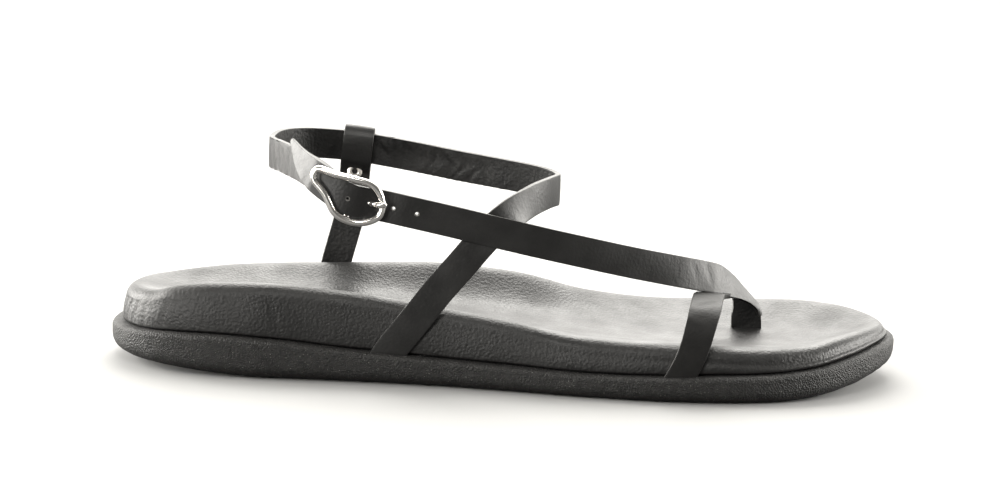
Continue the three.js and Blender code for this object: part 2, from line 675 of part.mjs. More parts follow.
function prongSolid(grow = 0) {
  const eyeRadius = barRadius + prongEyeClearance + prongRadius;
  const eye = Array.from({ length: 8 }, (_, k) => {
    const angle = (2 * Math.PI * k) / 8;
    return atBuckle(eyeRadius * Math.cos(angle), 0, barOut + eyeRadius * Math.sin(angle));
  });
  const restOut = wireOut + wireRadius + clearance + prongRadius;
  const below = -(strapThickness / 2 + clearance + 2 * prongRadius);
  const outs = [below, -prongRadius, strapThickness / 2, restOut, restOut];
  const pin = [
    atBuckle(eyeRadius, 0, barOut),
    ...prongRows.map(({ run, rise }, i) => atBuckle(run * prongHoleRun, rise, outs[i])),
  ];
  return wireSolid(eye, prongRadius + grow, { looped: true, steps: 16 })
    .add(wireSolid(pin, prongRadius + grow, { steps: 16 }));
}

// A turned solid at a place, its axis along a direction; the profile holds radius and height pairs
function turnedSolid(profile, origin, axis, segments = 20) {
  const geometry = new THREE.LatheGeometry(profile.map(([r, h]) => new THREE.Vector2(r, h)), segments);
  const turn = new THREE.Quaternion().setFromUnitVectors(new THREE.Vector3(0, 1, 0), axis);
  geometry.applyQuaternion(turn);
  geometry.translate(origin.x, origin.y, origin.z);
  return solidFrom(geometry);
}

const rivetFront = flapOut - strapThickness / 2 - clearance;
const rivetBack = strapLayer + strapThickness / 2 + clearance;

function buildRivet() {
  const head = (base, turn) => rivetHead.map(({ radius, rise }) => [
    radius * rivetRadius,
    base + turn * rise * rivetDome,
  ]);
  const front = head(rivetFront, -1);
  const back = head(rivetBack, 1);
  const profile = [
    ...front.reverse(),
    [rivetBarrel, rivetFront],
    [rivetBarrel, rivetBack],
    ...back,
  ];
  return turnedSolid([...profile, profile[0]], atKeeper(0, rivetRise), keeper.face);
}

// The room that the rivet takes out of the leather: its barrel, and a shallow seat under each head
function rivetSpace() {
  const head = rivetRadius + clearance;
  const barrel = rivetBarrel + clearance;
  const front = rivetFront + clearance;
  const back = rivetBack - clearance;
  return turnedSolid([
    [0, front - strapLayer],
    [head, front - strapLayer],
    [head, front],
    [barrel, front],
    [barrel, back],
    [head, back],
    [head, back + strapLayer],
    [0, back + strapLayer],
  ], atKeeper(0, rivetRise), keeper.face);
}

function holeSolid(origin, axis, radius) {
  const reach = 3 * strapThickness;
  return turnedSolid([[0, -reach], [radius, -reach], [radius, reach], [0, reach]], origin, axis, 12);
}

// Assembly
const instepStrap = { rows: instepRows(), stepsPerRow: 2 };
const ankleStrap = { rows: ankleRows(), stepsPerRow: 3 };
const toeStrap = { rows: toeRows(), stepsPerRow: 2 };
const sideStrap = { rows: sideRows(), stepsPerRow: 3 };

function buildUpper() {
  const instepCurve = strapCurve(instepStrap.rows);
  const punched = [-1, 1, 2].map((turn) => {
    const at = furtherAlong(instepCurve, freeEndRows.length + 1, prongHoleRun + turn * holePitch);
    return holeSolid(at.centre, at.face, holeRadius);
  });
  const instep = punched.reduce((solid, hole) => solid.subtract(hole), strapSolid(instepStrap));
  return instep
    .add(strapSolid(ankleStrap))
    .add(strapSolid(toeStrap))
    .subtract(prongSolid(clearance));
}

function buildSideStrap() {
  return strapSolid(sideStrap)
    .subtract(strapSolid(ankleStrap, clearance))
    .subtract(rivetSpace());
}

const strapSpace = [instepStrap, ankleStrap, toeStrap, sideStrap]
  .map((strap) => strapSolid(strap, clearance))
  .reduce((all, solid) => all.add(solid));

const parts = new THREE.Group();
parts.add(meshFrom('outsole', buildOutsole().subtract(strapSpace), rubber));
parts.add(meshFrom('footbed', buildFootbed().subtract(strapSpace), footbedLeather));
parts.add(meshFrom('upper', buildUpper(), leather));
parts.add(meshFrom('side_strap', buildSideStrap(), leather));
parts.add(meshFrom('buckle_frame', buildBuckle(), metal));
parts.add(meshFrom('buckle_prong', prongSolid(), metal));
parts.add(meshFrom('side_rivet', buildRivet(), metal));

// The origin is below the middle of the outsole, on the floor
const soleBox = new THREE.Box3().setFromObject(parts.children[0]);
const soleMiddle = soleBox.getCenter(new THREE.Vector3());
parts.position.set(-soleMiddle.x, -soleMiddle.y, -soleBox.min.z);

const sandal = new THREE.Group();
sandal.add(parts);

export default sandal;
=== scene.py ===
import math

import bpy
from mathutils import Matrix, Vector, noise


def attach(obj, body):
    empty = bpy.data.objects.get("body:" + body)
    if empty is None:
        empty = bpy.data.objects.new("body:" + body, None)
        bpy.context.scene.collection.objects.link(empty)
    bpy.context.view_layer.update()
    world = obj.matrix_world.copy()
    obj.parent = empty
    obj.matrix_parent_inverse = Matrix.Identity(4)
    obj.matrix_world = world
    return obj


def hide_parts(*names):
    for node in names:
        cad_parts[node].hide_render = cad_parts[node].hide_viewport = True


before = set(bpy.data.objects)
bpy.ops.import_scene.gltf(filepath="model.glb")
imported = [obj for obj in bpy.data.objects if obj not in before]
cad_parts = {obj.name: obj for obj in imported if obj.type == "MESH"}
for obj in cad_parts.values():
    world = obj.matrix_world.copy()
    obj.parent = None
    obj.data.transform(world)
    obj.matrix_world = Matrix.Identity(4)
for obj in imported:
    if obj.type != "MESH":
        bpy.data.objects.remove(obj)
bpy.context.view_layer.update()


# Outsole.
# The thick moulded rubber sole: a little larger than the footbed, with a rounded lower edge, a bevelled heel
# and a low toe spring. Matt, finely pebbled rubber with a few bright specks, cemented under the footbed.
# Lengths are in millimetres; MM turns them into metres.
MM = 0.001
SOLE_LENGTH = 265.0
BALL_WIDTH = 97.0
SOLE_HEIGHT = 14.0
TOE_SPRING = 6.5
SOLE_ROUNDING = 5.0
SOLE_LIP = 1.6
SPINE_RUN = 30.0
SIDE_SHIFT = 0.82
LEDGE_STEP = 0.8
SOLE_WAVE = 0.12
SOLE_WAVES_PER_METRE = 260
RUBBER_COLOUR = (0.022, 0.021, 0.02, 1)
RUBBER_DARK = (0.007, 0.007, 0.0067, 1)
RUBBER_SPECK = (0.22, 0.215, 0.2, 1)
sole_sections = (
    # station, middle, half, ledge, seam, under
    (0.0, 0.0, 0.0, 0.25, 0.86, 0.46),
    (0.04, 0.0, 0.25, 0.26, 0.93, 0.4),
    (0.08, 0.0, 0.315, 0.27, 0.97, 0.29),
    (0.14, 0.0, 0.352, 0.28, 0.99, 0.12),
    (0.2, -0.003, 0.363, 0.28, 0.95, 0.0),
    (0.3, -0.015, 0.356, 0.28, 0.8, 0.0),
    (0.4, -0.026, 0.363, 0.28, 0.69, 0.0),
    (0.5, -0.031, 0.397, 0.28, 0.62, 0.0),
    (0.6, -0.027, 0.448, 0.28, 0.56, 0.0),
    (0.7, -0.016, 0.49, 0.27, 0.6, 0.0),
    (0.755, -0.008, 0.498, 0.25, 0.65, 0.0),
    (0.83, 0.0, 0.474, 0.22, 0.68, 0.0),
    (0.89, 0.012, 0.42, 0.2, 0.76, 0.12),
    (0.945, 0.027, 0.31, 0.19, 0.93, 0.42),
    (0.98, 0.04, 0.19, 0.19, 1.03, 0.75),
    (1.0, 0.042, 0.0, 0.19, 1.07, 1.0),
)


def column(rows, place, size):
    """A smooth line through one column of a table, by station, without overshoot."""
    at = [math.acos(1 - 2 * row[0]) for row in rows]
    value = [row[place] * size for row in rows]
    rise = [(value[i + 1] - value[i]) / (at[i + 1] - at[i]) for i in range(len(at) - 1)]
    slope = [rise[0]]
    for before, after in zip(rise, rise[1:]):
        slope.append(2 / (1 / before + 1 / after) if before * after > 0 else 0)
    slope.append(rise[-1])

    def height(station):
        angle = math.acos(1 - 2 * min(max(station, 0), 1))
        i = 0
        while i < len(at) - 2 and angle > at[i + 1]:
            i += 1
        width = at[i + 1] - at[i]
        t = (angle - at[i]) / width
        ease = t * t * (3 - 2 * t)
        return (
            value[i] * (1 - ease)
            + value[i + 1] * ease
            + width * (slope[i] * t * (1 - t) ** 2 - slope[i + 1] * t * t * (1 - t))
        )

    return height


middle = column(sole_sections, 1, BALL_WIDTH)
half = column(sole_sections, 2, BALL_WIDTH)
ledge = column(sole_sections, 3, SOLE_HEIGHT)
seam = column(sole_sections, 4, SOLE_HEIGHT)
under = column(sole_sections, 5, TOE_SPRING)


def outline_points(steps):
    """Points round the sole, outer side first: (station, side, place, outward)."""
    stations = [(1 - math.cos(math.pi * i / steps)) / 2 for i in range(steps + 1)]
    round_trip = [(s, -1) for s in stations] + [(s, 1) for s in reversed(stations[1:-1])]
    places = [
        Vector((s * SOLE_LENGTH, middle(s) + side * half(s))) for s, side in round_trip
    ]
    points = []
    for k, (station, side) in enumerate(round_trip):
        run = (places[(k + 1) % len(places)] - places[k - 1]).normalized()
        points.append((station, side, places[k], Vector((run.y, -run.x))))
    return points


outline = outline_points(80)


def inset_ring(inset, height):
    """A ring that runs a given way inside the outline, at a given height."""
    ring = []
    for station, side, place, outward in outline:
        spot = place - outward * inset(station, side)
        ring.append(
            Vector((spot.x - SOLE_LENGTH / 2, spot.y + SIDE_SHIFT, height(station, side)))
        )
    return ring


def spine_ring(height):
    """A ring closed up to the line along the middle of the sole."""
    run = SPINE_RUN / SOLE_LENGTH
    ring = []
    for station, side, place, outward in outline:
        s = min(max(station, run), 1 - run)
        ring.append(
            Vector(((s - 0.5) * SOLE_LENGTH, middle(s) + SIDE_SHIFT, height(s)))
        )
    return ring


def skin(name, rings, looped=False, filled=False):
    """A closed surface over rings of points in millimetres, laid from a grid."""
    rows = rings + rings[:1] if looped else rings
    columns = len(rows[0])
    bpy.ops.object.select_all(action="DESELECT")
    bpy.ops.mesh.primitive_grid_add(
        x_subdivisions=columns, y_subdivisions=len(rows) - 1, size=2
    )
    piece = bpy.context.object
    piece.name = piece.data.name = name
    for vertex in piece.data.vertices:
        across = round((vertex.co.x + 1) / 2 * columns) % columns
        along = round((vertex.co.y + 1) / 2 * (len(rows) - 1))
        vertex.co = rows[along][across] * MM
    bpy.ops.object.mode_set(mode="EDIT")
    bpy.ops.mesh.select_all(action="SELECT")
    bpy.ops.mesh.remove_doubles(threshold=1e-6)
    if filled:
        bpy.ops.mesh.select_all(action="DESELECT")
        bpy.ops.mesh.select_non_manifold()
        bpy.ops.mesh.fill_holes(sides=0)
    bpy.ops.mesh.select_all(action="SELECT")
    bpy.ops.mesh.normals_make_consistent(inside=False)
    bpy.ops.object.mode_set(mode="OBJECT")
    bpy.ops.object.shade_smooth()
    return piece


def push_out(piece, amount):
    """Moves each point of the piece along its normal, by an amount that depends on where it is."""
    normals = [vertex.normal.copy() for vertex in piece.data.vertices]
    for vertex, normal in zip(piece.data.vertices, normals):
        vertex.co += normal * amount(vertex.co)


def finish_with(piece, kind, **settings):
    """Adds one modifier to the piece and applies it."""
    bpy.ops.object.select_all(action="DESELECT")
    bpy.context.view_layer.objects.active = piece
    piece.select_set(True)
    modifier = piece.modifiers.new(kind.title(), kind)
    for key, value in settings.items():
        setattr(modifier, key, value)
    bpy.ops.object.modifier_apply(modifier=modifier.name)


def new_node(material, kind, values=None, **settings):
    """A shader node with its settings and its unlinked values."""
    made = material.node_tree.nodes.new("ShaderNode" + kind)
    for key, value in settings.items():
        setattr(made, key, value)
    for key, value in (values or {}).items():
        made.inputs[key].default_value = value
    return made


def join(material, source, output, target, field):
    material.node_tree.links.new(source.outputs[output], target.inputs[field])


def new_material(name, slot_colour, roughness, **shader):
    material = bpy.data.materials.new(name)
    material.use_nodes = True
    surface = material.node_tree.nodes["Principled BSDF"]
    surface.inputs["Base Color"].default_value = slot_colour
    surface.inputs["Roughness"].default_value = roughness
    for key, value in shader.items():
        surface.inputs[key].default_value = value
    return material, surface


def two_colours(material, low, high, start, end):
    """A ramp from one colour to another between two places."""
    ramp = new_node(material, "ValToRGB")
    ramp.color_ramp.elements[0].color = low
    ramp.color_ramp.elements[0].position = start
    ramp.color_ramp.elements[1].color = high
    ramp.color_ramp.elements[1].position = end
    return ramp


rubber, surface = new_material(
    "pebbled_rubber", RUBBER_COLOUR, 0.66, **{"Specular IOR Level": 0.5}
)
place = new_node(rubber, "TexCoord")
pebbles = new_node(rubber, "TexVoronoi", {"Scale": 2000.0, "Randomness": 1.0}, feature="SMOOTH_F1")
grit = new_node(rubber, "TexNoise", {"Scale": 1900.0, "Detail": 3.0, "Roughness": 0.6})
patches = new_node(rubber, "TexNoise", {"Scale": 620.0, "Detail": 4.0, "Roughness": 0.6})
specks = new_node(rubber, "TexNoise", {"Scale": 2600.0, "Detail": 1.0, "Roughness": 0.5})
for texture in (pebbles, grit, patches, specks):
    join(rubber, place, "Object", texture, "Vector")
shade = two_colours(rubber, RUBBER_DARK, RUBBER_COLOUR, 0.35, 0.7)
join(rubber, patches, "Fac", shade, "Fac")
speck_mask = two_colours(rubber, (0, 0, 0, 1), (1, 1, 1, 1), 0.71, 0.76)
join(rubber, specks, "Fac", speck_mask, "Fac")
mixed = new_node(rubber, "MixRGB", {"Color2": RUBBER_SPECK})
join(rubber, speck_mask, "Color", mixed, "Fac")
join(rubber, shade, "Color", mixed, "Color1")
join(rubber, mixed, "Color", surface, "Base Color")
relief = new_node(rubber, "Bump", {"Strength": 0.85, "Distance": 0.0005})
join(rubber, pebbles, "Distance", relief, "Height")
fine_relief = new_node(rubber, "Bump", {"Strength": 0.35, "Distance": 0.0003})
join(rubber, grit, "Fac", fine_relief, "Height")
join(rubber, relief, "Normal", fine_relief, "Normal")
join(rubber, fine_relief, "Normal", surface, "Normal")


def sole_thickness(station):
    return min(SOLE_ROUNDING, (seam(station) - under(station)) / 2)


def edge_drop(angle, radius):
    return radius * (1 - math.cos(math.radians(angle)))


sole_rings = [spine_ring(under)]
for share in (0.5, 0.2):
    sole_rings.append(
        [
            spine.lerp(edge, 1 - share)
            for spine, edge in zip(
                spine_ring(under),
                inset_ring(lambda s, side: sole_thickness(s), lambda s, side: under(s)),
            )
        ]
    )
for angle in (90, 72, 54, 36, 18, 0):
    sole_rings.append(
        inset_ring(
            lambda s, side, a=angle: edge_drop(a, sole_thickness(s)),
            lambda s, side, a=angle: under(s) + edge_drop(90 - a, sole_thickness(s)),
        )
    )
for angle in (0, 22, 45, 68, 90):
    sole_rings.append(
        inset_ring(
            lambda s, side, a=angle: edge_drop(a, SOLE_LIP),
            lambda s, side, a=angle: seam(s) - edge_drop(90 - a, SOLE_LIP),
        )
    )
sole_rings.append(inset_ring(lambda s, side: ledge(s) + LEDGE_STEP, lambda s, side: seam(s)))
sole_rings.append(spine_ring(seam))
outsole = skin("moulded_outsole", sole_rings)
finish_with(outsole, "SUBSURF", levels=2, render_levels=2)
push_out(outsole, lambda spot: SOLE_WAVE * MM * noise.noise(spot * SOLE_WAVES_PER_METRE))
outsole.data.materials.append(rubber)
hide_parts("outsole")
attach(outsole, "root")


# Footbed.
# The contoured midsole and insole in one, wrapped in one smooth black leather that turns softly over the rim,
# with small wrinkles where it is drawn round the heel. Glued on top of the outsole.
FOOTBED_HEIGHT = 30.0
RIM_RADIUS = 4.5
RIM_SHARE = 0.75
WALL_LEAN = 0.9
WALL_BULGE = 0.35
BASE_ROUNDING = 0.8
BASE_TURN = 0.2
SEAM_GAP = 0.3
TROUGH_END = 0.35
TROUGH_FADE = 3
WRAP_WAVE = 0.18
WRAP_WAVES_PER_METRE = 55
WRAP_DARK = (0.008, 0.0078, 0.0075, 1)
WRAP_LIGHT = (0.014, 0.0136, 0.0131, 1)
footbed_sections = (
    # station, outer rim, inner rim, floor
    (0.0, 0.82, 0.82, 0.7),
    (0.04, 0.86, 0.82, 0.7),
    (0.08, 0.95, 0.84, 0.71),
    (0.14, 1.01, 0.885, 0.74),
    (0.2, 1.03, 0.915, 0.755),
    (0.3, 0.97, 0.97, 0.74),
    (0.4, 0.86, 1.0, 0.69),
    (0.5, 0.74, 0.92, 0.6),
    (0.6, 0.61, 0.69, 0.505),
    (0.7, 0.595, 0.59, 0.46),
    (0.755, 0.59, 0.585, 0.455),
    (0.83, 0.565, 0.605, 0.455),
    (0.89, 0.57, 0.64, 0.47),
    (0.945, 0.625, 0.655, 0.5),
    (0.98, 0.635, 0.63, 0.52),
    (1.0, 0.62, 0.62, 0.53),
)
outer_rim = column(footbed_sections, 1, FOOTBED_HEIGHT)
inner_rim = column(footbed_sections, 2, FOOTBED_HEIGHT)
bowl_floor = column(footbed_sections, 3, FOOTBED_HEIGHT)


def crest(station, side):
    return outer_rim(station) if side < 0 else inner_rim(station)


def base(station):
    return seam(station) + SEAM_GAP


def rim_radius(station, side):
    wall = crest(station, side) - base(station) - BASE_ROUNDING
    return min(RIM_RADIUS, RIM_SHARE * wall)


bed_rings = [
    spine_ring(base),
    inset_ring(lambda s, side: ledge(s) + BASE_ROUNDING, lambda s, side: base(s)),
    inset_ring(lambda s, side: ledge(s) + BASE_TURN, lambda s, side: base(s) + BASE_TURN),
    inset_ring(lambda s, side: ledge(s), lambda s, side: base(s) + BASE_ROUNDING),
]
for share in (0.35, 0.7):
    bed_rings.append(
        inset_ring(
            lambda s, side, p=share: ledge(s) + WALL_LEAN * p - WALL_BULGE * math.sin(math.pi * p),
            lambda s, side, p=share: (base(s) + BASE_ROUNDING) * (1 - p)
            + (crest(s, side) - rim_radius(s, side)) * p,
        )
    )
for angle in (0, 15, 30, 45, 60, 75, 90):
    turn = math.radians(angle)
    bed_rings.append(
        inset_ring(
            lambda s, side, t=turn: ledge(s) + WALL_LEAN + rim_radius(s, side) * (1 - math.cos(t)),
            lambda s, side, t=turn: crest(s, side) - rim_radius(s, side) * (1 - math.sin(t)),
        )
    )
inner_edge = bed_rings[-1]
bed_spine = spine_ring(bowl_floor)
for reach, rise in (
    # how far in from the rim, and how much of the rim's height is left there
    (0.04, 0.985),
    (0.1, 0.93),
    (0.17, 0.81),
    (0.24, 0.68),
    (0.33, 0.51),
    (0.42, 0.36),
    (0.53, 0.21),
    (0.65, 0.1),
    (0.82, 0.025),
):
    ring = []
    for edge, spine in zip(inner_edge, bed_spine):
        spot = edge.lerp(spine, reach)
        spot.z = spine.z + (edge.z - spine.z) * rise
        ring.append(spot)
    bed_rings.append(ring)
bed_rings.append(bed_spine)
footbed = skin("wrapped_footbed", bed_rings)
finish_with(footbed, "SUBSURF", levels=2, render_levels=2)


def press(piece, creases, reach=0):
    """Presses soft troughs into a piece along short lines, or raises ridges where the depth is negative.

    Each is at its deepest within the reach of its line, and its sides fade over its width.
    """
    lines = [
        (Vector(start) * MM, Vector(end) * MM, width * MM, sink * MM)
        for start, end, width, sink in creases
    ]

    def depth(spot):
        total = 0
        for a, b, width, sink in lines:
            run = b - a
            t = min(max((spot - a).dot(run) / run.length_squared, 0), 1)
            away = max(0, (spot - a - run * t).length - reach * MM) / width
            if away < TROUGH_FADE:
                share = TROUGH_END + (1 - TROUGH_END) * math.sin(math.pi * t)
                total += sink * math.exp(-away * away) * share
        return -total

    push_out(piece, depth)


wall_foot, wall_head = bed_rings[3], bed_rings[6]
heel_wrinkles = []
for point, lean, width, sink in (
    # point round the outline from the heel tip, lean in points, width and depth
    (2, 0, 0.7, 0.3),
    (3, 1, 0.6, 0.4),
    (4, 0, 0.7, 0.45),
    (5, 1, 0.6, 0.4),
    (6, 0, 0.7, 0.45),
    (7, 1, 0.6, 0.3),
    (8, 0, 0.8, 0.35),
    (10, 0, 0.8, 0.2),
    (13, 1, 0.9, 0.16),
    (25, -1, 1.0, 0.16),
    (-3, 0, 0.7, 0.35),
    (-5, -1, 0.7, 0.4),
    (-7, 0, 0.8, 0.3),
    (-9, 0, 0.8, 0.2),
):
    heel_wrinkles.append((wall_foot[point], wall_head[point + lean], width, sink))
press(footbed, heel_wrinkles)
push_out(footbed, lambda spot: WRAP_WAVE * MM * noise.noise(spot * WRAP_WAVES_PER_METRE))


def leather(name, dark, light, roughness, grain=1.0, shine=0.5, drawn=0.0):
    """Leather with a fine pebbled grain, faint mottling and a soft sheen; drawn adds fine cross wrinkles."""
    material, surface = new_material(name, dark, roughness, **{"Specular IOR Level": shine})
    place = new_node(material, "TexCoord")
    cells = new_node(material, "TexVoronoi", {"Scale": 1150.0}, feature="SMOOTH_F1")
    pores = new_node(material, "TexNoise", {"Scale": 2600.0, "Detail": 2.0, "Roughness": 0.55})
    mottle = new_node(material, "TexNoise", {"Scale": 70.0, "Detail": 4.0, "Roughness": 0.6})
    for texture in (cells, pores, mottle):
        join(material, place, "Object", texture, "Vector")
    tone = two_colours(material, dark, light, 0.35, 0.7)
    join(material, mottle, "Fac", tone, "Fac")
    join(material, tone, "Color", surface, "Base Color")
    gloss = new_node(
        material,
        "MapRange",
        {"From Min": 0.3, "From Max": 0.7, "To Min": roughness - 0.07, "To Max": roughness + 0.09},
    )
    join(material, mottle, "Fac", gloss, "Value")
    join(material, gloss, "Result", surface, "Roughness")
    coarse = new_node(material, "Bump", {"Strength": 0.3 * grain, "Distance": 0.0004})
    join(material, cells, "Distance", coarse, "Height")
    fine = new_node(material, "Bump", {"Strength": 0.25 * grain, "Distance": 0.0002})
    join(material, pores, "Fac", fine, "Height")
    join(material, coarse, "Normal", fine, "Normal")
    if drawn == 0:
        join(material, fine, "Normal", surface, "Normal")
        return material
    stretch = new_node(material, "Mapping", {"Scale": (900.0, 60.0, 1.0)})
    wrinkles = new_node(material, "TexNoise", {"Scale": 1.0, "Detail": 3.0, "Roughness": 0.6})
    folds = new_node(material, "Bump", {"Strength": drawn, "Distance": 0.00025})
    join(material, place, "UV", stretch, "Vector")
    join(material, stretch, "Vector", wrinkles, "Vector")
    join(material, wrinkles, "Fac", folds, "Height")
    join(material, fine, "Normal", folds, "Normal")
    join(material, folds, "Normal", surface, "Normal")
    return material


footbed.data.materials.append(leather("footbed_leather", WRAP_DARK, WRAP_LIGHT, 0.48, grain=1.3))
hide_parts("footbed")
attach(footbed, "root")


# Ankle strap.
# One strip of smooth leather whose rounded cut edges are painted paler than the grain, a painted highlight
# for the thin lit lines along the edges. It comes out of the seam on the outer side, goes forward under the
# instep strap and round the ankle, and ends folded round the buckle's bar.
STRAP_WIDTH = 10.3
STRAP_THICKNESS = 1.8
STRAP_STEP = 0.75
STRAP_CROWN = 0.12
EDGE_ROUNDING = 0.32
RIDGE_REACH = 0.5
GRAIN_DARK = (0.009, 0.0088, 0.0085, 1)
GRAIN_LIGHT = (0.017, 0.0165, 0.0159, 1)
FLESH_DARK = (0.004, 0.004, 0.004, 1)
FLESH_LIGHT = (0.022, 0.0214, 0.0205, 1)
# painted highlight: the cut edges' pale colours stand in for the thin lit lines along the straps' edges
EDGE_HIGHLIGHT_DARK = (0.035, 0.034, 0.032, 1)
EDGE_HIGHLIGHT_LIGHT = (0.085, 0.083, 0.079, 1)
ankle_rows = (
    # x, y, z, then the direction of the grain side, then width and thickness
    (-39.5, -32.8, 7.2, 0.00, -1.00, 0.00, 1, 1.8),
    (-37.9, -32.9, 10.2, 0.00, -1.00, 0.00, 1, 1.8),
    (-29.3, -33.4, 22.0, 0.00, -1.00, 0.00, 1, 1.8),
    (-21.7, -32.9, 32.2, 0.00, -1.00, 0.08, 1, 1.8),
    (-14.8, -31.4, 40.4, 0.02, -0.99, 0.12, 1, 1.8),
    (-8.8, -28.9, 47.5, 0.06, -0.99, 0.15, 1, 1.8),
    (-5.0, -27.2, 51.5, 0.12, -0.98, 0.16, 1, 1.8),
    (0.5, -23.6, 56.1, 0.36, -0.92, 0.15, 1, 1.8),
    (8.2, -14.2, 59.9, 0.75, -0.65, 0.05, 1, 1.8),
    (13.8, -5.2, 61.1, 0.95, -0.30, 0.00, 1, 1.8),
    (16.4, 1.3, 61.1, 1.00, 0.00, 0.00, 1, 1.8),
    (15.4, 6.6, 61.1, 0.76, 0.65, 0.00, 1, 1.8),
    (10.6, 11.0, 61.9, 0.41, 0.91, 0.02, 1, 1.8),
    (-3.2, 17.0, 63.3, 0.30, 0.95, 0.03, 1, 1.8),
    (-17.0, 21.8, 64.6, 0.25, 0.97, 0.03, 1, 1.8),
    (-34.5, 26.0, 66.8, 0.18, 0.98, 0.02, 1, 1.8),
    (-52.2, 28.4, 68.9, 0.03, 1.00, 0.00, 1, 1.8),
    (-62.5, 27.8, 69.7, -0.20, 0.98, 0.00, 1, 1.8),
    (-71.5, 24.1, 70.3, -0.60, 0.80, 0.00, 1, 1.8),
    (-77.6, 15.9, 70.7, -0.92, 0.40, 0.00, 1, 1.8),
    (-80.0, 5.2, 70.5, -1.00, 0.00, 0.00, 1, 1.8),
    (-79.0, -3.5, 71.0, -0.95, -0.30, 0.00, 1, 1.8),
    (-76.1, -9.4, 71.0, -0.82, -0.57, 0.00, 1, 1.8),
    (-72.9, -14.3, 70.6, -0.72, -0.70, 0.00, 1, 1.8),
    (-69.0, -19.6, 69.9, -0.60, -0.80, 0.00, 1, 1.8),
    (-65.9, -23.6, 69.0, -0.48, -0.88, 0.00, 1, 1.8),
    (-62.8, -26.7, 67.9, -0.33, -0.94, 0.00, 1, 1.8),
    (-57.6, -29.4, 63.9, -0.12, -0.99, 0.00, 1, 1.8),
    (-53.6, -30.7, 61.7, 0.03, -1.00, -0.00, 1, 1.1),
    (-51.7, -30.6, 61.4, 0.03, -1.00, -0.00, 1, 1.1),
    (-49.9, -28.6, 61.0, 0.98, 0.03, -0.19, 1, 1.1),
    (-51.8, -26.7, 61.4, -0.03, 1.00, 0.00, 1, 1.1),
    (-56.5, -26.8, 63.4, -0.03, 1.00, 0.00, 1, 1.1),
)


def smooth_through(points, i, t):
    """The point at share t of the way from point i to the next, on one smooth curve through all."""
    before = points[i - 1] if i > 0 else points[i] * 2 - points[i + 1]
    after = points[i + 2] if i + 2 < len(points) else points[i + 1] * 2 - points[i]
    four = (before, points[i], points[i + 1], after)
    knots = [0.0]
    for a, b in zip(four, four[1:]):
        knots.append(knots[-1] + max((b - a).length, 1e-6) ** 0.5)
    at = knots[1] + (knots[2] - knots[1]) * t

    def between(a, b, low, high):
        return a.lerp(b, (at - low) / (high - low))

    level = [between(four[k], four[k + 1], knots[k], knots[k + 1]) for k in range(3)]
    level = [between(level[k], level[k + 1], knots[k], knots[k + 2]) for k in range(2)]
    return between(level[0], level[1], knots[1], knots[2])


def strap_places(rows):
    """Evenly stepped places along a strap: centre, grain side, across, width and thickness."""
    centres = [Vector(row[:3]) for row in rows]
    faces = [Vector(row[3:6]).normalized() for row in rows]
    places = []
    for i in range(len(rows) - 1):
        last = i == len(rows) - 2
        steps = max(3, round((centres[i + 1] - centres[i]).length / STRAP_STEP))
        for step in range(steps + (1 if last else 0)):
            t = step / steps
            centre = smooth_through(centres, i, t)
            ahead = smooth_through(centres, i, min(t + 0.02, 1))
            behind = smooth_through(centres, i, max(t - 0.02, 0))
            along = (ahead - behind).normalized()
            face = faces[i].lerp(faces[i + 1], t * t * (3 - 2 * t))
            face = (face - along * face.dot(along)).normalized()
            width = STRAP_WIDTH * (rows[i][6] * (1 - t) + rows[i + 1][6] * t)
            thickness = rows[i][7] * (1 - t) + rows[i + 1][7] * t
            places.append((centre, face, face.cross(along), width, thickness))
    return places


def lay_strap(name, rows, materials, across=18):
    """A flat strip laid along its rows, given its thickness, with rounded cut edges."""
    places = strap_places(rows)
    bpy.ops.object.select_all(action="DESELECT")
    bpy.ops.mesh.primitive_grid_add(
        x_subdivisions=across, y_subdivisions=len(places) - 1, size=2
    )
    piece = bpy.context.object
    piece.name = piece.data.name = name
    thin = piece.vertex_groups.new(name="thickness")
    run = [0.0]
    for a, b in zip(places, places[1:]):
        run.append(run[-1] + (b[0] - a[0]).length)
    spots = []
    for vertex in piece.data.vertices:
        side = vertex.co.x
        along = round((vertex.co.y + 1) / 2 * (len(places) - 1))
        centre, face, cross, width, thickness = places[along]
        spots.append((run[along] * MM, side * width / 2 * MM))
        crown = STRAP_CROWN * (1 - side * side)
        vertex.co = (centre + cross * (side * width / 2) + face * crown) * MM
        thin.add([vertex.index], thickness / STRAP_THICKNESS, "REPLACE")
    layer = piece.data.uv_layers.active
    for loop in piece.data.loops:
        layer.data[loop.index].uv = spots[loop.vertex_index]
    for material in materials:
        piece.data.materials.append(material)
    grain_direction = places[min(len(places) - 1, 3)][1]
    first_faces = piece.data.polygons[: across * 3]
    if sum(face.normal.dot(grain_direction) for face in first_faces) < 0:
        piece.data.flip_normals()
    finish_with(
        piece,
        "SOLIDIFY",
        thickness=STRAP_THICKNESS * MM,
        offset=0,
        use_even_offset=True,
        vertex_group="thickness",
        material_offset=1,
        material_offset_rim=2,
    )
    finish_with(
        piece,
        "BEVEL",
        width=EDGE_ROUNDING * MM,
        segments=3,
        limit_method="ANGLE",
        angle_limit=math.radians(50),
        use_clamp_overlap=True,
    )
    bpy.ops.object.shade_smooth()
    return piece


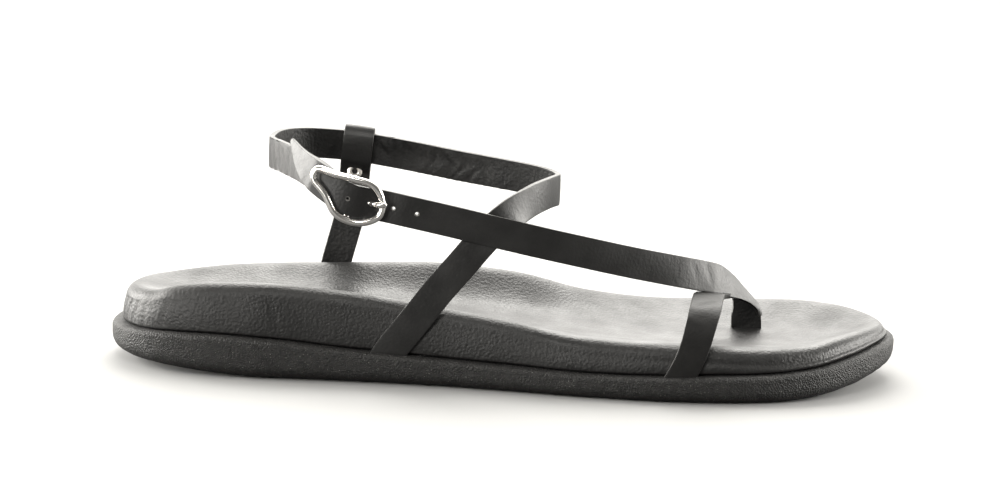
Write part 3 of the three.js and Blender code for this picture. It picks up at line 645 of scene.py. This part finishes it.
grain_side = leather("strap_leather", GRAIN_DARK, GRAIN_LIGHT, 0.44, grain=0.4, drawn=0.2)
flesh_side = leather(
    "strap_flesh_side", FLESH_DARK, FLESH_LIGHT, 0.5, grain=1.4, shine=0.4, drawn=0.6
)
# the cut edges' material is paler than the grain as a painted highlight along the edges
edge_highlight = leather("strap_edge_highlight", EDGE_HIGHLIGHT_DARK, EDGE_HIGHLIGHT_LIGHT, 0.5, grain=1.2)
strap_materials = (grain_side, flesh_side, edge_highlight)
ankle_strap = lay_strap("ankle_strap", ankle_rows, strap_materials)
ankle_creases = (
    # start, end, width and depth of each soft trough, in millimetres
    ((-46, 27.8, 71), (-42, 27.2, 66), 0.3, 0.33),
    ((-40, 26.9, 72), (-36, 26.1, 65), 0.3, 0.39),
    ((-36, 26.2, 71), (-30, 24.8, 64), 0.3, 0.51),
    ((-32, 25.3, 70.5), (-26, 23.8, 63), 0.3, 0.57),
    ((-28, 24.4, 69.5), (-24, 23.4, 64.5), 0.3, 0.45),
    ((-24, 23.5, 69), (-17, 21.6, 61.8), 0.3, 0.51),
    ((-17, 21.5, 68.5), (-12, 20, 62), 0.3, 0.33),
    ((-10, 19.4, 66.5), (-6, 17.9, 60.5), 0.3, 0.33),
    ((-79.5, -1, 76), (-79.5, -1.5, 66), 0.4, 0.17),
    ((-78.3, -5.4, 75.8), (-78, -5.9, 66.5), 0.4, 0.19),
    ((-76.6, -9, 75.5), (-76.4, -9.5, 66.5), 0.4, 0.22),
    ((-74.9, -11.5, 75), (-74.5, -12, 66.3), 0.4, 0.18),
    ((-72.4, -15.1, 74.6), (-72, -15.6, 66), 0.4, 0.21),
    ((-70, -18.3, 74), (-69.6, -18.8, 65.5), 0.4, 0.15),
    ((-67.6, -21.3, 73), (-67.2, -21.8, 64.6), 0.4, 0.15),
)
press(ankle_strap, ankle_creases, reach=STRAP_THICKNESS / 2)
flesh_ridges = (
    # the loose flesh side puckers in a row of slanting ridges; a negative depth raises them
    ((-26.7, 23.2, 66.7), (-30.8, 24.2, 61.8), 0.50, -0.34),
    ((-23.7, 22.5, 65.7), (-28.3, 23.6, 61.4), 0.50, -0.30),
    ((-20.7, 21.7, 66.0), (-25.8, 23.0, 61.1), 0.50, -0.38),
    ((-19.2, 21.4, 64.9), (-23.3, 22.4, 60.7), 0.50, -0.30),
    ((-16.2, 20.6, 65.3), (-20.8, 21.8, 60.3), 0.50, -0.36),
    ((-13.2, 19.5, 64.3), (-18.3, 21.2, 59.9), 0.50, -0.40),
    ((-11.8, 19.0, 64.5), (-15.8, 20.4, 59.6), 0.50, -0.30),
    ((-8.8, 18.0, 63.6), (-13.3, 19.6, 59.2), 0.50, -0.36),
    ((-5.8, 17.0, 64.0), (-10.8, 18.7, 58.9), 0.50, -0.28),
    ((-4.4, 16.5, 62.9), (-8.3, 17.8, 58.6), 0.50, -0.30),
    ((-1.4, 15.3, 63.3), (-5.9, 17.0, 58.3), 0.50, -0.22),
    ((1.6, 13.9, 62.4), (-3.4, 16.1, 57.9), 0.50, -0.20),
    ((-43.8, 26.3, 71.9), (-41.2, 26.0, 67.8), 0.50, -0.30),
    ((-41.5, 26.0, 71.8), (-37.2, 25.4, 67.7), 0.50, -0.34),
    ((-27.0, 23.2, 70.1), (-27.5, 23.4, 65.7), 0.45, -0.30),
    ((-70.2, 26.8, 71.2), (-71.8, 26.8, 66.1), 0.50, -0.25),
    ((-65.5, 26.8, 70.6), (-66.2, 26.8, 65.9), 0.50, -0.22),
    ((-61.2, 26.9, 70.3), (-62.1, 26.9, 65.9), 0.50, -0.22),
)
press(ankle_strap, flesh_ridges, reach=RIDGE_REACH)
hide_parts("upper")
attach(ankle_strap, "root")


# Instep strap.
# One strip from its free, pointed end through the buckle, along the outer side and over the instep to the
# toes, where it tapers into its fold. Four round holes are punched for the prong; their countersunk rims are
# painted pale, a painted glint in each hole. From FOLD_START on, its rim is the turned fold and no cut edge.
HOLE_RADIUS = 0.5
HOLE_RIM = 0.85
HOLE_SIDES = 32
RIM_SINK = 0.2
RIM_CUT = 1
HOLE_CUT = 5
FOLD_START = 70
# painted glint: the holes' rims are coloured pale to stand in for the bright glints in the holes
HOLE_GLINT_DARK = (0.16, 0.155, 0.147, 1)
HOLE_GLINT_LIGHT = (0.3, 0.292, 0.277, 1)
instep_rows = (
    # the same columns as the ankle strap's, from the free end to the fold
    (-71.8, -16.3, 77.6, -0.68, -0.73, 0.08, 0.12, 1.4),
    (-70.1, -19.4, 74.8, -0.62, -0.78, 0.06, 0.38, 1.6),
    (-67.9, -22.8, 71.9, -0.53, -0.85, 0.03, 0.68, 1.8),
    (-65.4, -26.4, 69.5, -0.42, -0.91, 0.00, 0.92, 1.8),
    (-62.7, -29.3, 67.7, -0.30, -0.95, 0.00, 1.00, 1.8),
    (-57.5, -31.5, 64.3, -0.12, -0.99, 0.00, 1.00, 1.8),
    (-51.7, -32.4, 61.3, 0.03, -1.00, -0.00, 1.00, 1.8),
    (-40.7, -31.1, 59.3, 0.03, -1.00, -0.00, 1.00, 1.8),
    (-33.1, -31.5, 57.9, 0.00, -1.00, 0.00, 1.00, 1.8),
    (-19.9, -30.5, 55.1, 0.02, -1.00, 0.02, 1.00, 1.8),
    (-5.0, -28.8, 51.7, 0.05, -1.00, 0.03, 1.00, 1.8),
    (10.6, -26.4, 48.1, 0.10, -0.99, 0.03, 1.00, 1.8),
    (26.5, -22.8, 44.4, 0.18, -0.98, 0.06, 1.00, 1.8),
    (42.4, -17.9, 40.5, 0.28, -0.94, 0.16, 1.00, 1.8),
    (58.3, -11.7, 36.8, 0.40, -0.87, 0.27, 1.00, 1.8),
    (65.6, -7.4, 34.9, 0.46, -0.84, 0.27, 1.00, 1.8),
    (71.0, -3.6, 33.2, 0.58, -0.76, 0.28, 0.97, 1.8),
    (74.0, -0.2, 31.3, 0.64, -0.69, 0.30, 0.88, 1.8),
    (76.8, 3.0, 29.3, 0.70, -0.62, 0.32, 0.74, 1.8),
    (80.2, 6.0, 26.6, 0.74, -0.56, 0.34, 0.46, 1.8),
    (83.4, 8.0, 23.9, 0.74, -0.56, 0.34, 0.26, 1.8),
    (85.9, 9.0, 21.3, 0.70, -0.62, 0.30, 0.16, 1.8),
    (87.0, 9.6, 18.4, 0.50, -0.80, 0.20, 0.10, 1.8),
)
instep_strap = lay_strap("instep_strap", instep_rows, strap_materials)
for face in instep_strap.data.polygons:
    if face.material_index == 2 and face.center.x > FOLD_START * MM:
        face.material_index = 0
punched = (
    # hole centre, then the strap's grain direction there
    ((-52.5, -32.3, 61.6), (-0.03, -1.0, 0.02)),
    ((-44.9, -31.5, 60.0), (0.15, -0.99, -0.02)),
    ((-37.4, -31.2, 58.7), (-0.09, -1.0, 0.02)),
    ((-29.8, -31.4, 57.2), (0.06, -1.0, -0.01)),
)
# the pale hole-rim material is a painted glint
hole_glint = leather("hole_edge_glint", HOLE_GLINT_DARK, HOLE_GLINT_LIGHT, 0.6)
instep_strap.data.materials.append(hole_glint)
for centre, facing in punched:
    outward = Vector(facing).normalized()
    turn = Vector((0, 0, 1)).rotation_difference(outward).to_euler()
    rim_spot = Vector(centre) + outward * (STRAP_THICKNESS / 2 + RIM_CUT / 2 - RIM_SINK)
    for radius, depth, spot in (
        (HOLE_RIM, RIM_CUT, rim_spot),
        (HOLE_RADIUS, HOLE_CUT, Vector(centre)),
    ):
        bpy.ops.object.select_all(action="DESELECT")
        bpy.ops.mesh.primitive_cylinder_add(
            vertices=HOLE_SIDES,
            radius=radius * MM,
            depth=depth * MM,
            location=spot * MM,
            rotation=turn,
        )
        punch = bpy.context.object
        for material in (*strap_materials, hole_glint):
            punch.data.materials.append(material)
        for face in punch.data.polygons:
            face.material_index = 3
        finish_with(instep_strap, "BOOLEAN", operation="DIFFERENCE", solver="EXACT", object=punch)
        bpy.data.objects.remove(punch)
bpy.ops.object.select_all(action="DESELECT")
instep_strap.select_set(True)
bpy.context.view_layer.objects.active = instep_strap
bpy.ops.object.shade_smooth_by_angle(angle=math.radians(40))
instep_creases = (
    ((-70.3, -20, 72), (-63, -30.4, 63.5), 0.4, 0.1),
    ((-67, -25, 71.5), (-60.5, -31.6, 62), 0.4, 0.1),
    ((62, -9, 40), (64, -9, 32), 0.4, 0.1),
    ((67, -6, 39), (69, -6, 31), 0.4, 0.12),
    ((72, -2, 36.5), (72.5, -3, 30), 0.4, 0.12),
)
press(instep_strap, instep_creases, reach=STRAP_THICKNESS / 2)
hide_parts("upper")
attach(instep_strap, "root")


# Toe strap.
# The strip over the toes: out of the seam on the outer side, level over the toes and in under the instep
# strap's fold, where it is glued and ends. It is softer and duller than the other straps, with a slack crown.
# From TUCK_START on, its rim takes the grain's dark colour instead of the pale edge highlight: painted shade
# inside the fold.
TUCK_START = -16
TOE_LIGHT = (0.019, 0.0185, 0.0177, 1)
toe_rows = (
    # from the seam to the fold
    (56.4, -45.4, 5.6, 0.00, -1.00, 0.00, 0.88, 1.8),
    (58.0, -45.4, 8.6, 0.00, -1.00, 0.00, 0.88, 1.8),
    (60.3, -45.5, 13.3, 0.00, -1.00, 0.00, 0.9, 1.8),
    (62.4, -44.8, 18.9, 0.00, -0.99, 0.10, 0.93, 1.8),
    (64.0, -42.9, 24.6, 0.00, -0.92, 0.38, 0.96, 1.8),
    (65.3, -38.4, 28.3, 0.00, -0.70, 0.70, 1, 1.8),
    (66.3, -32.0, 29.9, 0.00, -0.38, 0.92, 1, 1.8),
    (67.1, -24.0, 30.2, 0.00, -0.10, 1.00, 1, 1.8),
    (68.1, -14.2, 29.4, 0.00, 0.10, 1.00, 1, 1.8),
    (69.7, -5.2, 28.0, 0.05, 0.10, 0.99, 0.95, 1.8),
    (72.6, 1.8, 26.8, 0.10, 0.20, 0.97, 0.8, 1.8),
    (75.0, 7.2, 25.9, 0.20, 0.30, 0.93, 0.6, 1.8),
)
toe_grain = leather(
    "toe_strap_leather", GRAIN_DARK, TOE_LIGHT, 0.54, grain=0.6, shine=0.22, drawn=0.2
)
toe_strap = lay_strap("toe_strap", toe_rows, (toe_grain, flesh_side, edge_highlight))
# painted shade: the rim inside the fold loses the pale edge highlight and takes the dark grain colour
for face in toe_strap.data.polygons:
    if face.material_index == 2 and face.center.y > TUCK_START * MM:
        face.material_index = 0
toe_creases = (
    ((63, -36, 29.4), (72, -28, 30.4), 1.6, 0.5),
    ((61, -41, 26), (66, -41, 27), 1.2, 0.25),
)
press(toe_strap, toe_creases)
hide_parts("upper")
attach(toe_strap, "root")


# Toe thong.
# The instep strap's folded end, of the same leather: it turns over at the toes, flesh side outwards, and goes
# down between the big toe and the next into the footbed, where it is glued.
thong_rows = (
    # from the fold down into the slot
    (78.3, 10.6, 25.0, 0.00, 1.00, 0.00, 0.23, 1.8),
    (79.7, 10.6, 23.9, 0.00, 1.00, 0.00, 0.50, 1.8),
    (81.1, 10.6, 22.3, 0.00, 1.00, 0.00, 0.75, 1.8),
    (82.0, 10.6, 20.6, 0.00, 1.00, 0.00, 0.89, 1.8),
    (82.5, 10.6, 18.4, 0.00, 1.00, 0.00, 0.98, 1.8),
    (82.7, 10.6, 16.1, 0.00, 1.00, 0.00, 1.00, 1.8),
    (82.8, 10.6, 13.7, 0.00, 1.00, 0.00, 1.00, 1.8),
    (82.8, 10.6, 10.7, 0.00, 1.00, 0.00, 1.00, 1.8),
)
toe_thong = lay_strap("toe_thong", thong_rows, strap_materials)
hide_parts("upper")
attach(toe_thong, "root")


# Side strap.
# The inner side strap stands up from the seam, folds over the ankle strap's upper edge as a keeper loop and
# comes down inside it. The folded end is closed with a rivet.
side_rows = (
    # from the seam, over the ankle strap and back down to the rivet
    (-60.7, 31.2, 8.8, 0.00, 1.00, 0.00, 1, 1.8),
    (-60.4, 31.2, 11.8, 0.00, 1.00, 0.00, 1, 1.8),
    (-59.4, 31.1, 24.3, 0.00, 1.00, 0.00, 1, 1.8),
    (-54.3, 31.3, 46.4, 0.04, 1.00, 0.00, 1, 1.8),
    (-53.0, 30.5, 60.3, 0.04, 1.00, 0.00, 1, 1.8),
    (-52.1, 30.5, 68.9, 0.04, 1.00, 0.00, 1, 1.8),
    (-51.7, 30.5, 73.0, 0.04, 1.00, 0.00, 1, 1.8),
    (-51.6, 28.3, 75.2, 0.10, 0.00, 1.00, 1, 1.8),
    (-51.9, 26.3, 73.0, -0.04, -1.00, 0.00, 1, 1.8),
    (-52.7, 26.3, 64.3, -0.04, -1.00, 0.00, 1, 1.8),
    (-52.9, 27.6, 62.3, -0.04, -1.00, 0.00, 1, 1.8),
    (-53.0, 29.0, 60.3, -0.04, -1.00, 0.00, 1, 1.8),
    (-53.3, 29.0, 57.1, -0.04, -1.00, 0.00, 1, 1.8),
)
side_strap = lay_strap("side_strap_leather", side_rows, strap_materials)
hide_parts("side_strap")
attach(side_strap, "root")


# Buckle.
# A cast and polished frame of round section, pear shaped, with a bar soldered behind it and a wire prong that
# is bent round the bar. Pale, bright metal; the ankle strap's folded end holds it.
BUCKLE_LENGTH = 24.8
BUCKLE_HEIGHT = 13.8
BUCKLE_TILT = 8
BUCKLE_BEND = 1.6
WIRE_OUT = 1.75
BAR_OUT = -3.7
WIRE_RADIUS = 1.15
BAR_RADIUS = 0.8
PRONG_RADIUS = 0.6
EYE_GAP = 0.2
METAL_COLOUR = (0.94, 0.92, 0.89, 1)
METAL_BRIGHT = (0.95, 0.93, 0.9, 1)
METAL_WARM = (0.86, 0.76, 0.7, 1)
METAL_POLISH = 0.2
METAL_DULL = 0.28
# where the buckle sits on the instep strap, then its directions along, outwards and up across the strap
buckle_origin = Vector((-51.67, -32.35, 61.35))
buckle_along = Vector((0.9823, 0.0266, -0.1853))
buckle_out = Vector((0.0262, -0.9996, -0.0049))
buckle_rise = Vector((0.1854, 0.0, 0.9827))
buckle_outline = (
    # shares of the length and height, from the heel-side corner round by the top
    (-0.545, 0.4),
    (-0.3, 0.445),
    (-0.04, 0.5),
    (0.18, 0.52),
    (0.32, 0.41),
    (0.44, 0.08),
    (0.42, -0.17),
    (0.25, -0.42),
    (0.05, -0.49),
    (-0.13, -0.42),
    (-0.34, -0.08),
    (-0.55, 0.17),
)


def at_buckle(run, rise, out):
    return buckle_origin + buckle_along * run + buckle_rise * rise + buckle_out * out


def wire(name, points, radii, looped=False, sides=20, steps=8):
    """A round wire through points in millimetres, with a radius at each of them."""
    points = [Vector(p) for p in points]
    spans = len(points) if looped else len(points) - 1
    line = points[-1:] + points + points[:2] if looped else points
    shift = 1 if looped else 0
    path = []
    for i in range(spans):
        for step in range(steps):
            t = step / steps
            low = radii[i]
            high = radii[(i + 1) % len(points)]
            path.append((smooth_through(line, i + shift, t), low + (high - low) * t))
    if not looped:
        path.append((points[-1], radii[-1]))
    rings = []
    side = None
    for k, (centre, radius) in enumerate(path):
        if looped:
            along = path[(k + 1) % len(path)][0] - path[k - 1][0]
        else:
            along = path[min(k + 1, len(path) - 1)][0] - path[max(k - 1, 0)][0]
        along.normalize()
        guess = side or Vector((0.13, 1, 0.2))
        side = (guess - along * guess.dot(along)).normalized()
        other = along.cross(side)
        rings.append(
            [
                centre
                + side * radius * math.cos(2 * math.pi * n / sides)
                + other * radius * math.sin(2 * math.pi * n / sides)
                for n in range(sides)
            ]
        )
    return skin(name, rings, looped=looped, filled=not looped)


polished, surface = new_material("polished_metal", METAL_COLOUR, METAL_POLISH, Metallic=1.0)
place = new_node(polished, "TexCoord")
scuffs = new_node(polished, "TexNoise", {"Scale": 200.0, "Detail": 3.0, "Roughness": 0.5})
join(polished, place, "Object", scuffs, "Vector")
dulling = new_node(
    polished,
    "MapRange",
    {"From Min": 0.35, "From Max": 0.75, "To Min": METAL_POLISH, "To Max": METAL_DULL},
)
join(polished, scuffs, "Fac", dulling, "Value")
join(polished, dulling, "Result", surface, "Roughness")
tint = two_colours(polished, METAL_BRIGHT, METAL_WARM, 0.5, 0.9)
join(polished, scuffs, "Fac", tint, "Fac")
join(polished, tint, "Color", surface, "Base Color")
ripple = new_node(polished, "Bump", {"Strength": 0.015, "Distance": 0.0002})
join(polished, scuffs, "Fac", ripple, "Height")
join(polished, ripple, "Normal", surface, "Normal")

tilt = math.radians(BUCKLE_TILT)
ring_points = []
for run_share, rise_share in buckle_outline:
    run = run_share * BUCKLE_LENGTH
    rise = rise_share * BUCKLE_HEIGHT
    bend = BUCKLE_BEND * max(0, -2 * run_share) ** 2
    ring_points.append(
        at_buckle(
            run * math.cos(tilt) + rise * math.sin(tilt),
            rise * math.cos(tilt) - run * math.sin(tilt),
            WIRE_OUT - bend,
        )
    )
buckle_frame = wire("polished_frame", ring_points, [WIRE_RADIUS] * len(ring_points), looped=True)
buckle_frame.data.materials.append(polished)
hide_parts("buckle_frame")
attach(buckle_frame, "root")

leg = BUCKLE_HEIGHT / 2
buckle_bar = wire(
    "buckle_bar",
    (
        at_buckle(0, leg, WIRE_OUT),
        at_buckle(0, leg, BAR_OUT + 2 * BAR_RADIUS),
        at_buckle(0, leg - BAR_RADIUS, BAR_OUT),
        at_buckle(0, 0, BAR_OUT),
        at_buckle(0, BAR_RADIUS - leg, BAR_OUT),
        at_buckle(0, -leg, BAR_OUT + 2 * BAR_RADIUS),
        at_buckle(0, -leg, WIRE_OUT),
    ),
    [BAR_RADIUS] * 7,
)
buckle_bar.data.materials.append(polished)
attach(buckle_bar, "root")

eye = BAR_RADIUS + EYE_GAP + PRONG_RADIUS
prong = wire(
    "wire_prong",
    (
        # the eye round the bar, then through the hole and on to the frame
        at_buckle(0.3, 0, BAR_OUT - eye),
        at_buckle(-eye, 0, BAR_OUT),
        at_buckle(0, 0, BAR_OUT + eye),
        at_buckle(eye, 0, BAR_OUT + 0.3),
        at_buckle(3.1, 0, -2.3),
        at_buckle(5.5, 0, -0.6),
        at_buckle(7.1, 0.2, 0.7),
        at_buckle(8.3, 0.5, 2.5),
        at_buckle(10.2, 0.8, 3.5),
        at_buckle(11.9, 1.1, 3.4),
    ),
    [0.5, 0.55, 0.55, 0.55, 0.6, 0.65, 0.75, 0.88, 0.92, 0.75],
)
prong.data.materials.append(polished)
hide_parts("buckle_prong")
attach(prong, "root")


# Rivet.
# A hollow two-part rivet that closes the keeper's fold: a thin domed ring on each side of the leather, with a
# dark open bore between them. Duller metal than the buckle's.
RIVET_DROP = 8.65
RIVET_SIDES = 40
SATIN_COLOUR = (0.9, 0.88, 0.84, 1)
SATIN_BRIGHT = (0.93, 0.9, 0.86, 1)
SATIN_WORN = (0.7, 0.64, 0.58, 1)
# the middle of the ankle strap inside the keeper, then its grain side and its direction upwards
keeper = Vector((-52.205, 28.368, 68.925))
keeper_face = Vector((0.03696, 0.99932, -0.00068))
keeper_rise = Vector((0.09686, -0.00291, 0.9953))
rivet_seat = keeper - keeper_rise * RIVET_DROP
rivet_profile = (
    # radius, then place along the rivet's axis
    (1.0, -0.9),
    (1.15, -1.35),
    (1.6, -1.6),
    (2.2, -1.4),
    (2.6, -0.85),
    (2.55, -0.6),
    (1.6, -0.6),
    (1.6, 3.3),
    (2.55, 3.3),
    (2.6, 3.5),
    (2.2, 4.0),
    (1.6, 4.2),
    (1.15, 4.0),
    (1.0, 3.6),
)
bore_side = keeper_face.cross(Vector((0, 0, 1))).normalized()
bore_up = keeper_face.cross(bore_side)
rivet_turns = [2 * math.pi * n / RIVET_SIDES for n in range(RIVET_SIDES)]
rivet_rings = [
    [
        rivet_seat
        + keeper_face * along
        + (bore_side * math.cos(turn) + bore_up * math.sin(turn)) * radius
        for turn in rivet_turns
    ]
    for radius, along in rivet_profile
]
rivet = skin("keeper_rivet", rivet_rings, looped=True)
bpy.ops.object.shade_smooth_by_angle(angle=math.radians(45))
satin, surface = new_material("satin_metal", SATIN_COLOUR, 0.5, Metallic=0.85)
place = new_node(satin, "TexCoord")
wear = new_node(satin, "TexNoise", {"Scale": 700.0, "Detail": 4.0, "Roughness": 0.6})
join(satin, place, "Object", wear, "Vector")
worn = two_colours(satin, SATIN_BRIGHT, SATIN_WORN, 0.45, 0.8)
join(satin, wear, "Fac", worn, "Fac")
join(satin, worn, "Color", surface, "Base Color")
dents = new_node(satin, "Bump", {"Strength": 0.1, "Distance": 0.0002})
join(satin, wear, "Fac", dents, "Height")
join(satin, dents, "Normal", surface, "Normal")
rivet.data.materials.append(satin)
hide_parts("side_rivet")
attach(rivet, "root")


# Floor, light and camera.
# A plain white studio: a pale floor, warm soft light from above and behind, from the heel's side and from the
# toe's, and only a little from the front and for the buckle, so that what faces the camera stays dark. The
# floor is pale to the camera and dark to the shoe, so that it throws no light up into the walls.
FLOOR_SEEN = (0.37, 0.37, 0.37, 1)
FLOOR_LIT = (0.07, 0.07, 0.07, 1)
LAMP_COLOUR = (1.0, 0.98, 0.935)
SKY_FRONT = 0.1
SKY_BACK = 4.3
LENS = 121.86
CAMERA_PLACE = (-0.00217, -1.12078, 0.25756)
bpy.ops.object.select_all(action="DESELECT")
bpy.ops.mesh.primitive_plane_add(size=12, location=(0, 2, 0))
floor = bpy.context.object
floor.name = "studio_floor"
paper, surface = new_material("pale_paper", (0.9, 0.9, 0.9, 1), 0.9)
sight = new_node(paper, "LightPath")
flagged = new_node(paper, "MixRGB", {"Color1": FLOOR_LIT, "Color2": FLOOR_SEEN})
join(paper, sight, "Is Camera Ray", flagged, "Fac")
join(paper, flagged, "Color", surface, "Base Color")
floor.data.materials.append(paper)

world = bpy.data.worlds.new("studio")
bpy.context.scene.world = world
world.use_nodes = True
sky = world.node_tree.nodes
seen = sky["Background"]
seen.inputs["Color"].default_value = (1, 1, 1, 1)
seen.inputs["Strength"].default_value = 1.0
direction = sky.new("ShaderNodeTexCoord")
split = sky.new("ShaderNodeSeparateXYZ")
fall = sky.new("ShaderNodeMapRange")
fall.inputs["From Min"].default_value = -0.1
fall.inputs["From Max"].default_value = 0.95
fall.inputs["To Min"].default_value = SKY_FRONT
fall.inputs["To Max"].default_value = SKY_BACK
lighting = sky.new("ShaderNodeBackground")
lighting.inputs["Color"].default_value = (*LAMP_COLOUR, 1)
ray = sky.new("ShaderNodeLightPath")
blend = sky.new("ShaderNodeMixShader")
links = world.node_tree.links
links.new(direction.outputs["Generated"], split.inputs["Vector"])
links.new(split.outputs["Y"], fall.inputs["Value"])
links.new(fall.outputs["Result"], lighting.inputs["Strength"])
links.new(ray.outputs["Is Camera Ray"], blend.inputs["Fac"])
links.new(lighting.outputs["Background"], blend.inputs[1])
links.new(seen.outputs["Background"], blend.inputs[2])
links.new(blend.outputs["Shader"], sky["World Output"].inputs["Surface"])


def softbox(name, place, target, size, power):
    """A square soft lamp at a place, turned to a target."""
    light = bpy.data.lights.new(name, "AREA")
    light.shape = "SQUARE"
    light.size = size
    light.energy = power
    light.color = LAMP_COLOUR
    lamp = bpy.data.objects.new(name, light)
    bpy.context.scene.collection.objects.link(lamp)
    aim = (Vector(target) - Vector(place)).to_track_quat("-Z", "Y")
    lamp.matrix_world = Matrix.Translation(place) @ aim.to_matrix().to_4x4()


softbox("top_light", (0, 0.95, 1.1), (0, 0, 0), 1.0, 24)
softbox("heel_light", (-1.0, 0.22, 0.15), (-0.05, 0, 0.05), 0.9, 46)
softbox("toe_light", (1.0, 0.1, 0.15), (0.05, 0, 0.03), 0.8, 26)
softbox("front_light", (-0.7, -0.9, 0.2), (-0.05, 0, 0.05), 0.4, 6)
softbox("buckle_light", (-0.1, -0.8, 0.8), (-0.05, -0.03, 0.06), 0.3, 4)

# the photo's angle: from the outer side and a little above, through a long lens
camera = bpy.data.objects.new("camera", bpy.data.cameras.new("camera"))
bpy.context.scene.collection.objects.link(camera)
camera.data.sensor_width = 36
camera.data.lens = LENS
camera.data.clip_end = 50
camera_right = Vector((0.99939, 0.00666, 0.03426))
camera_up = Vector((-0.0349, 0.19069, 0.98103))
camera_back = Vector((0, -0.98163, 0.19081))
camera_turn = Matrix((camera_right, camera_up, camera_back)).transposed()
camera.matrix_world = Matrix.Translation(CAMERA_PLACE) @ camera_turn.to_4x4()
bpy.context.scene.camera = camera
bpy.context.scene.view_settings.view_transform = "Standard"
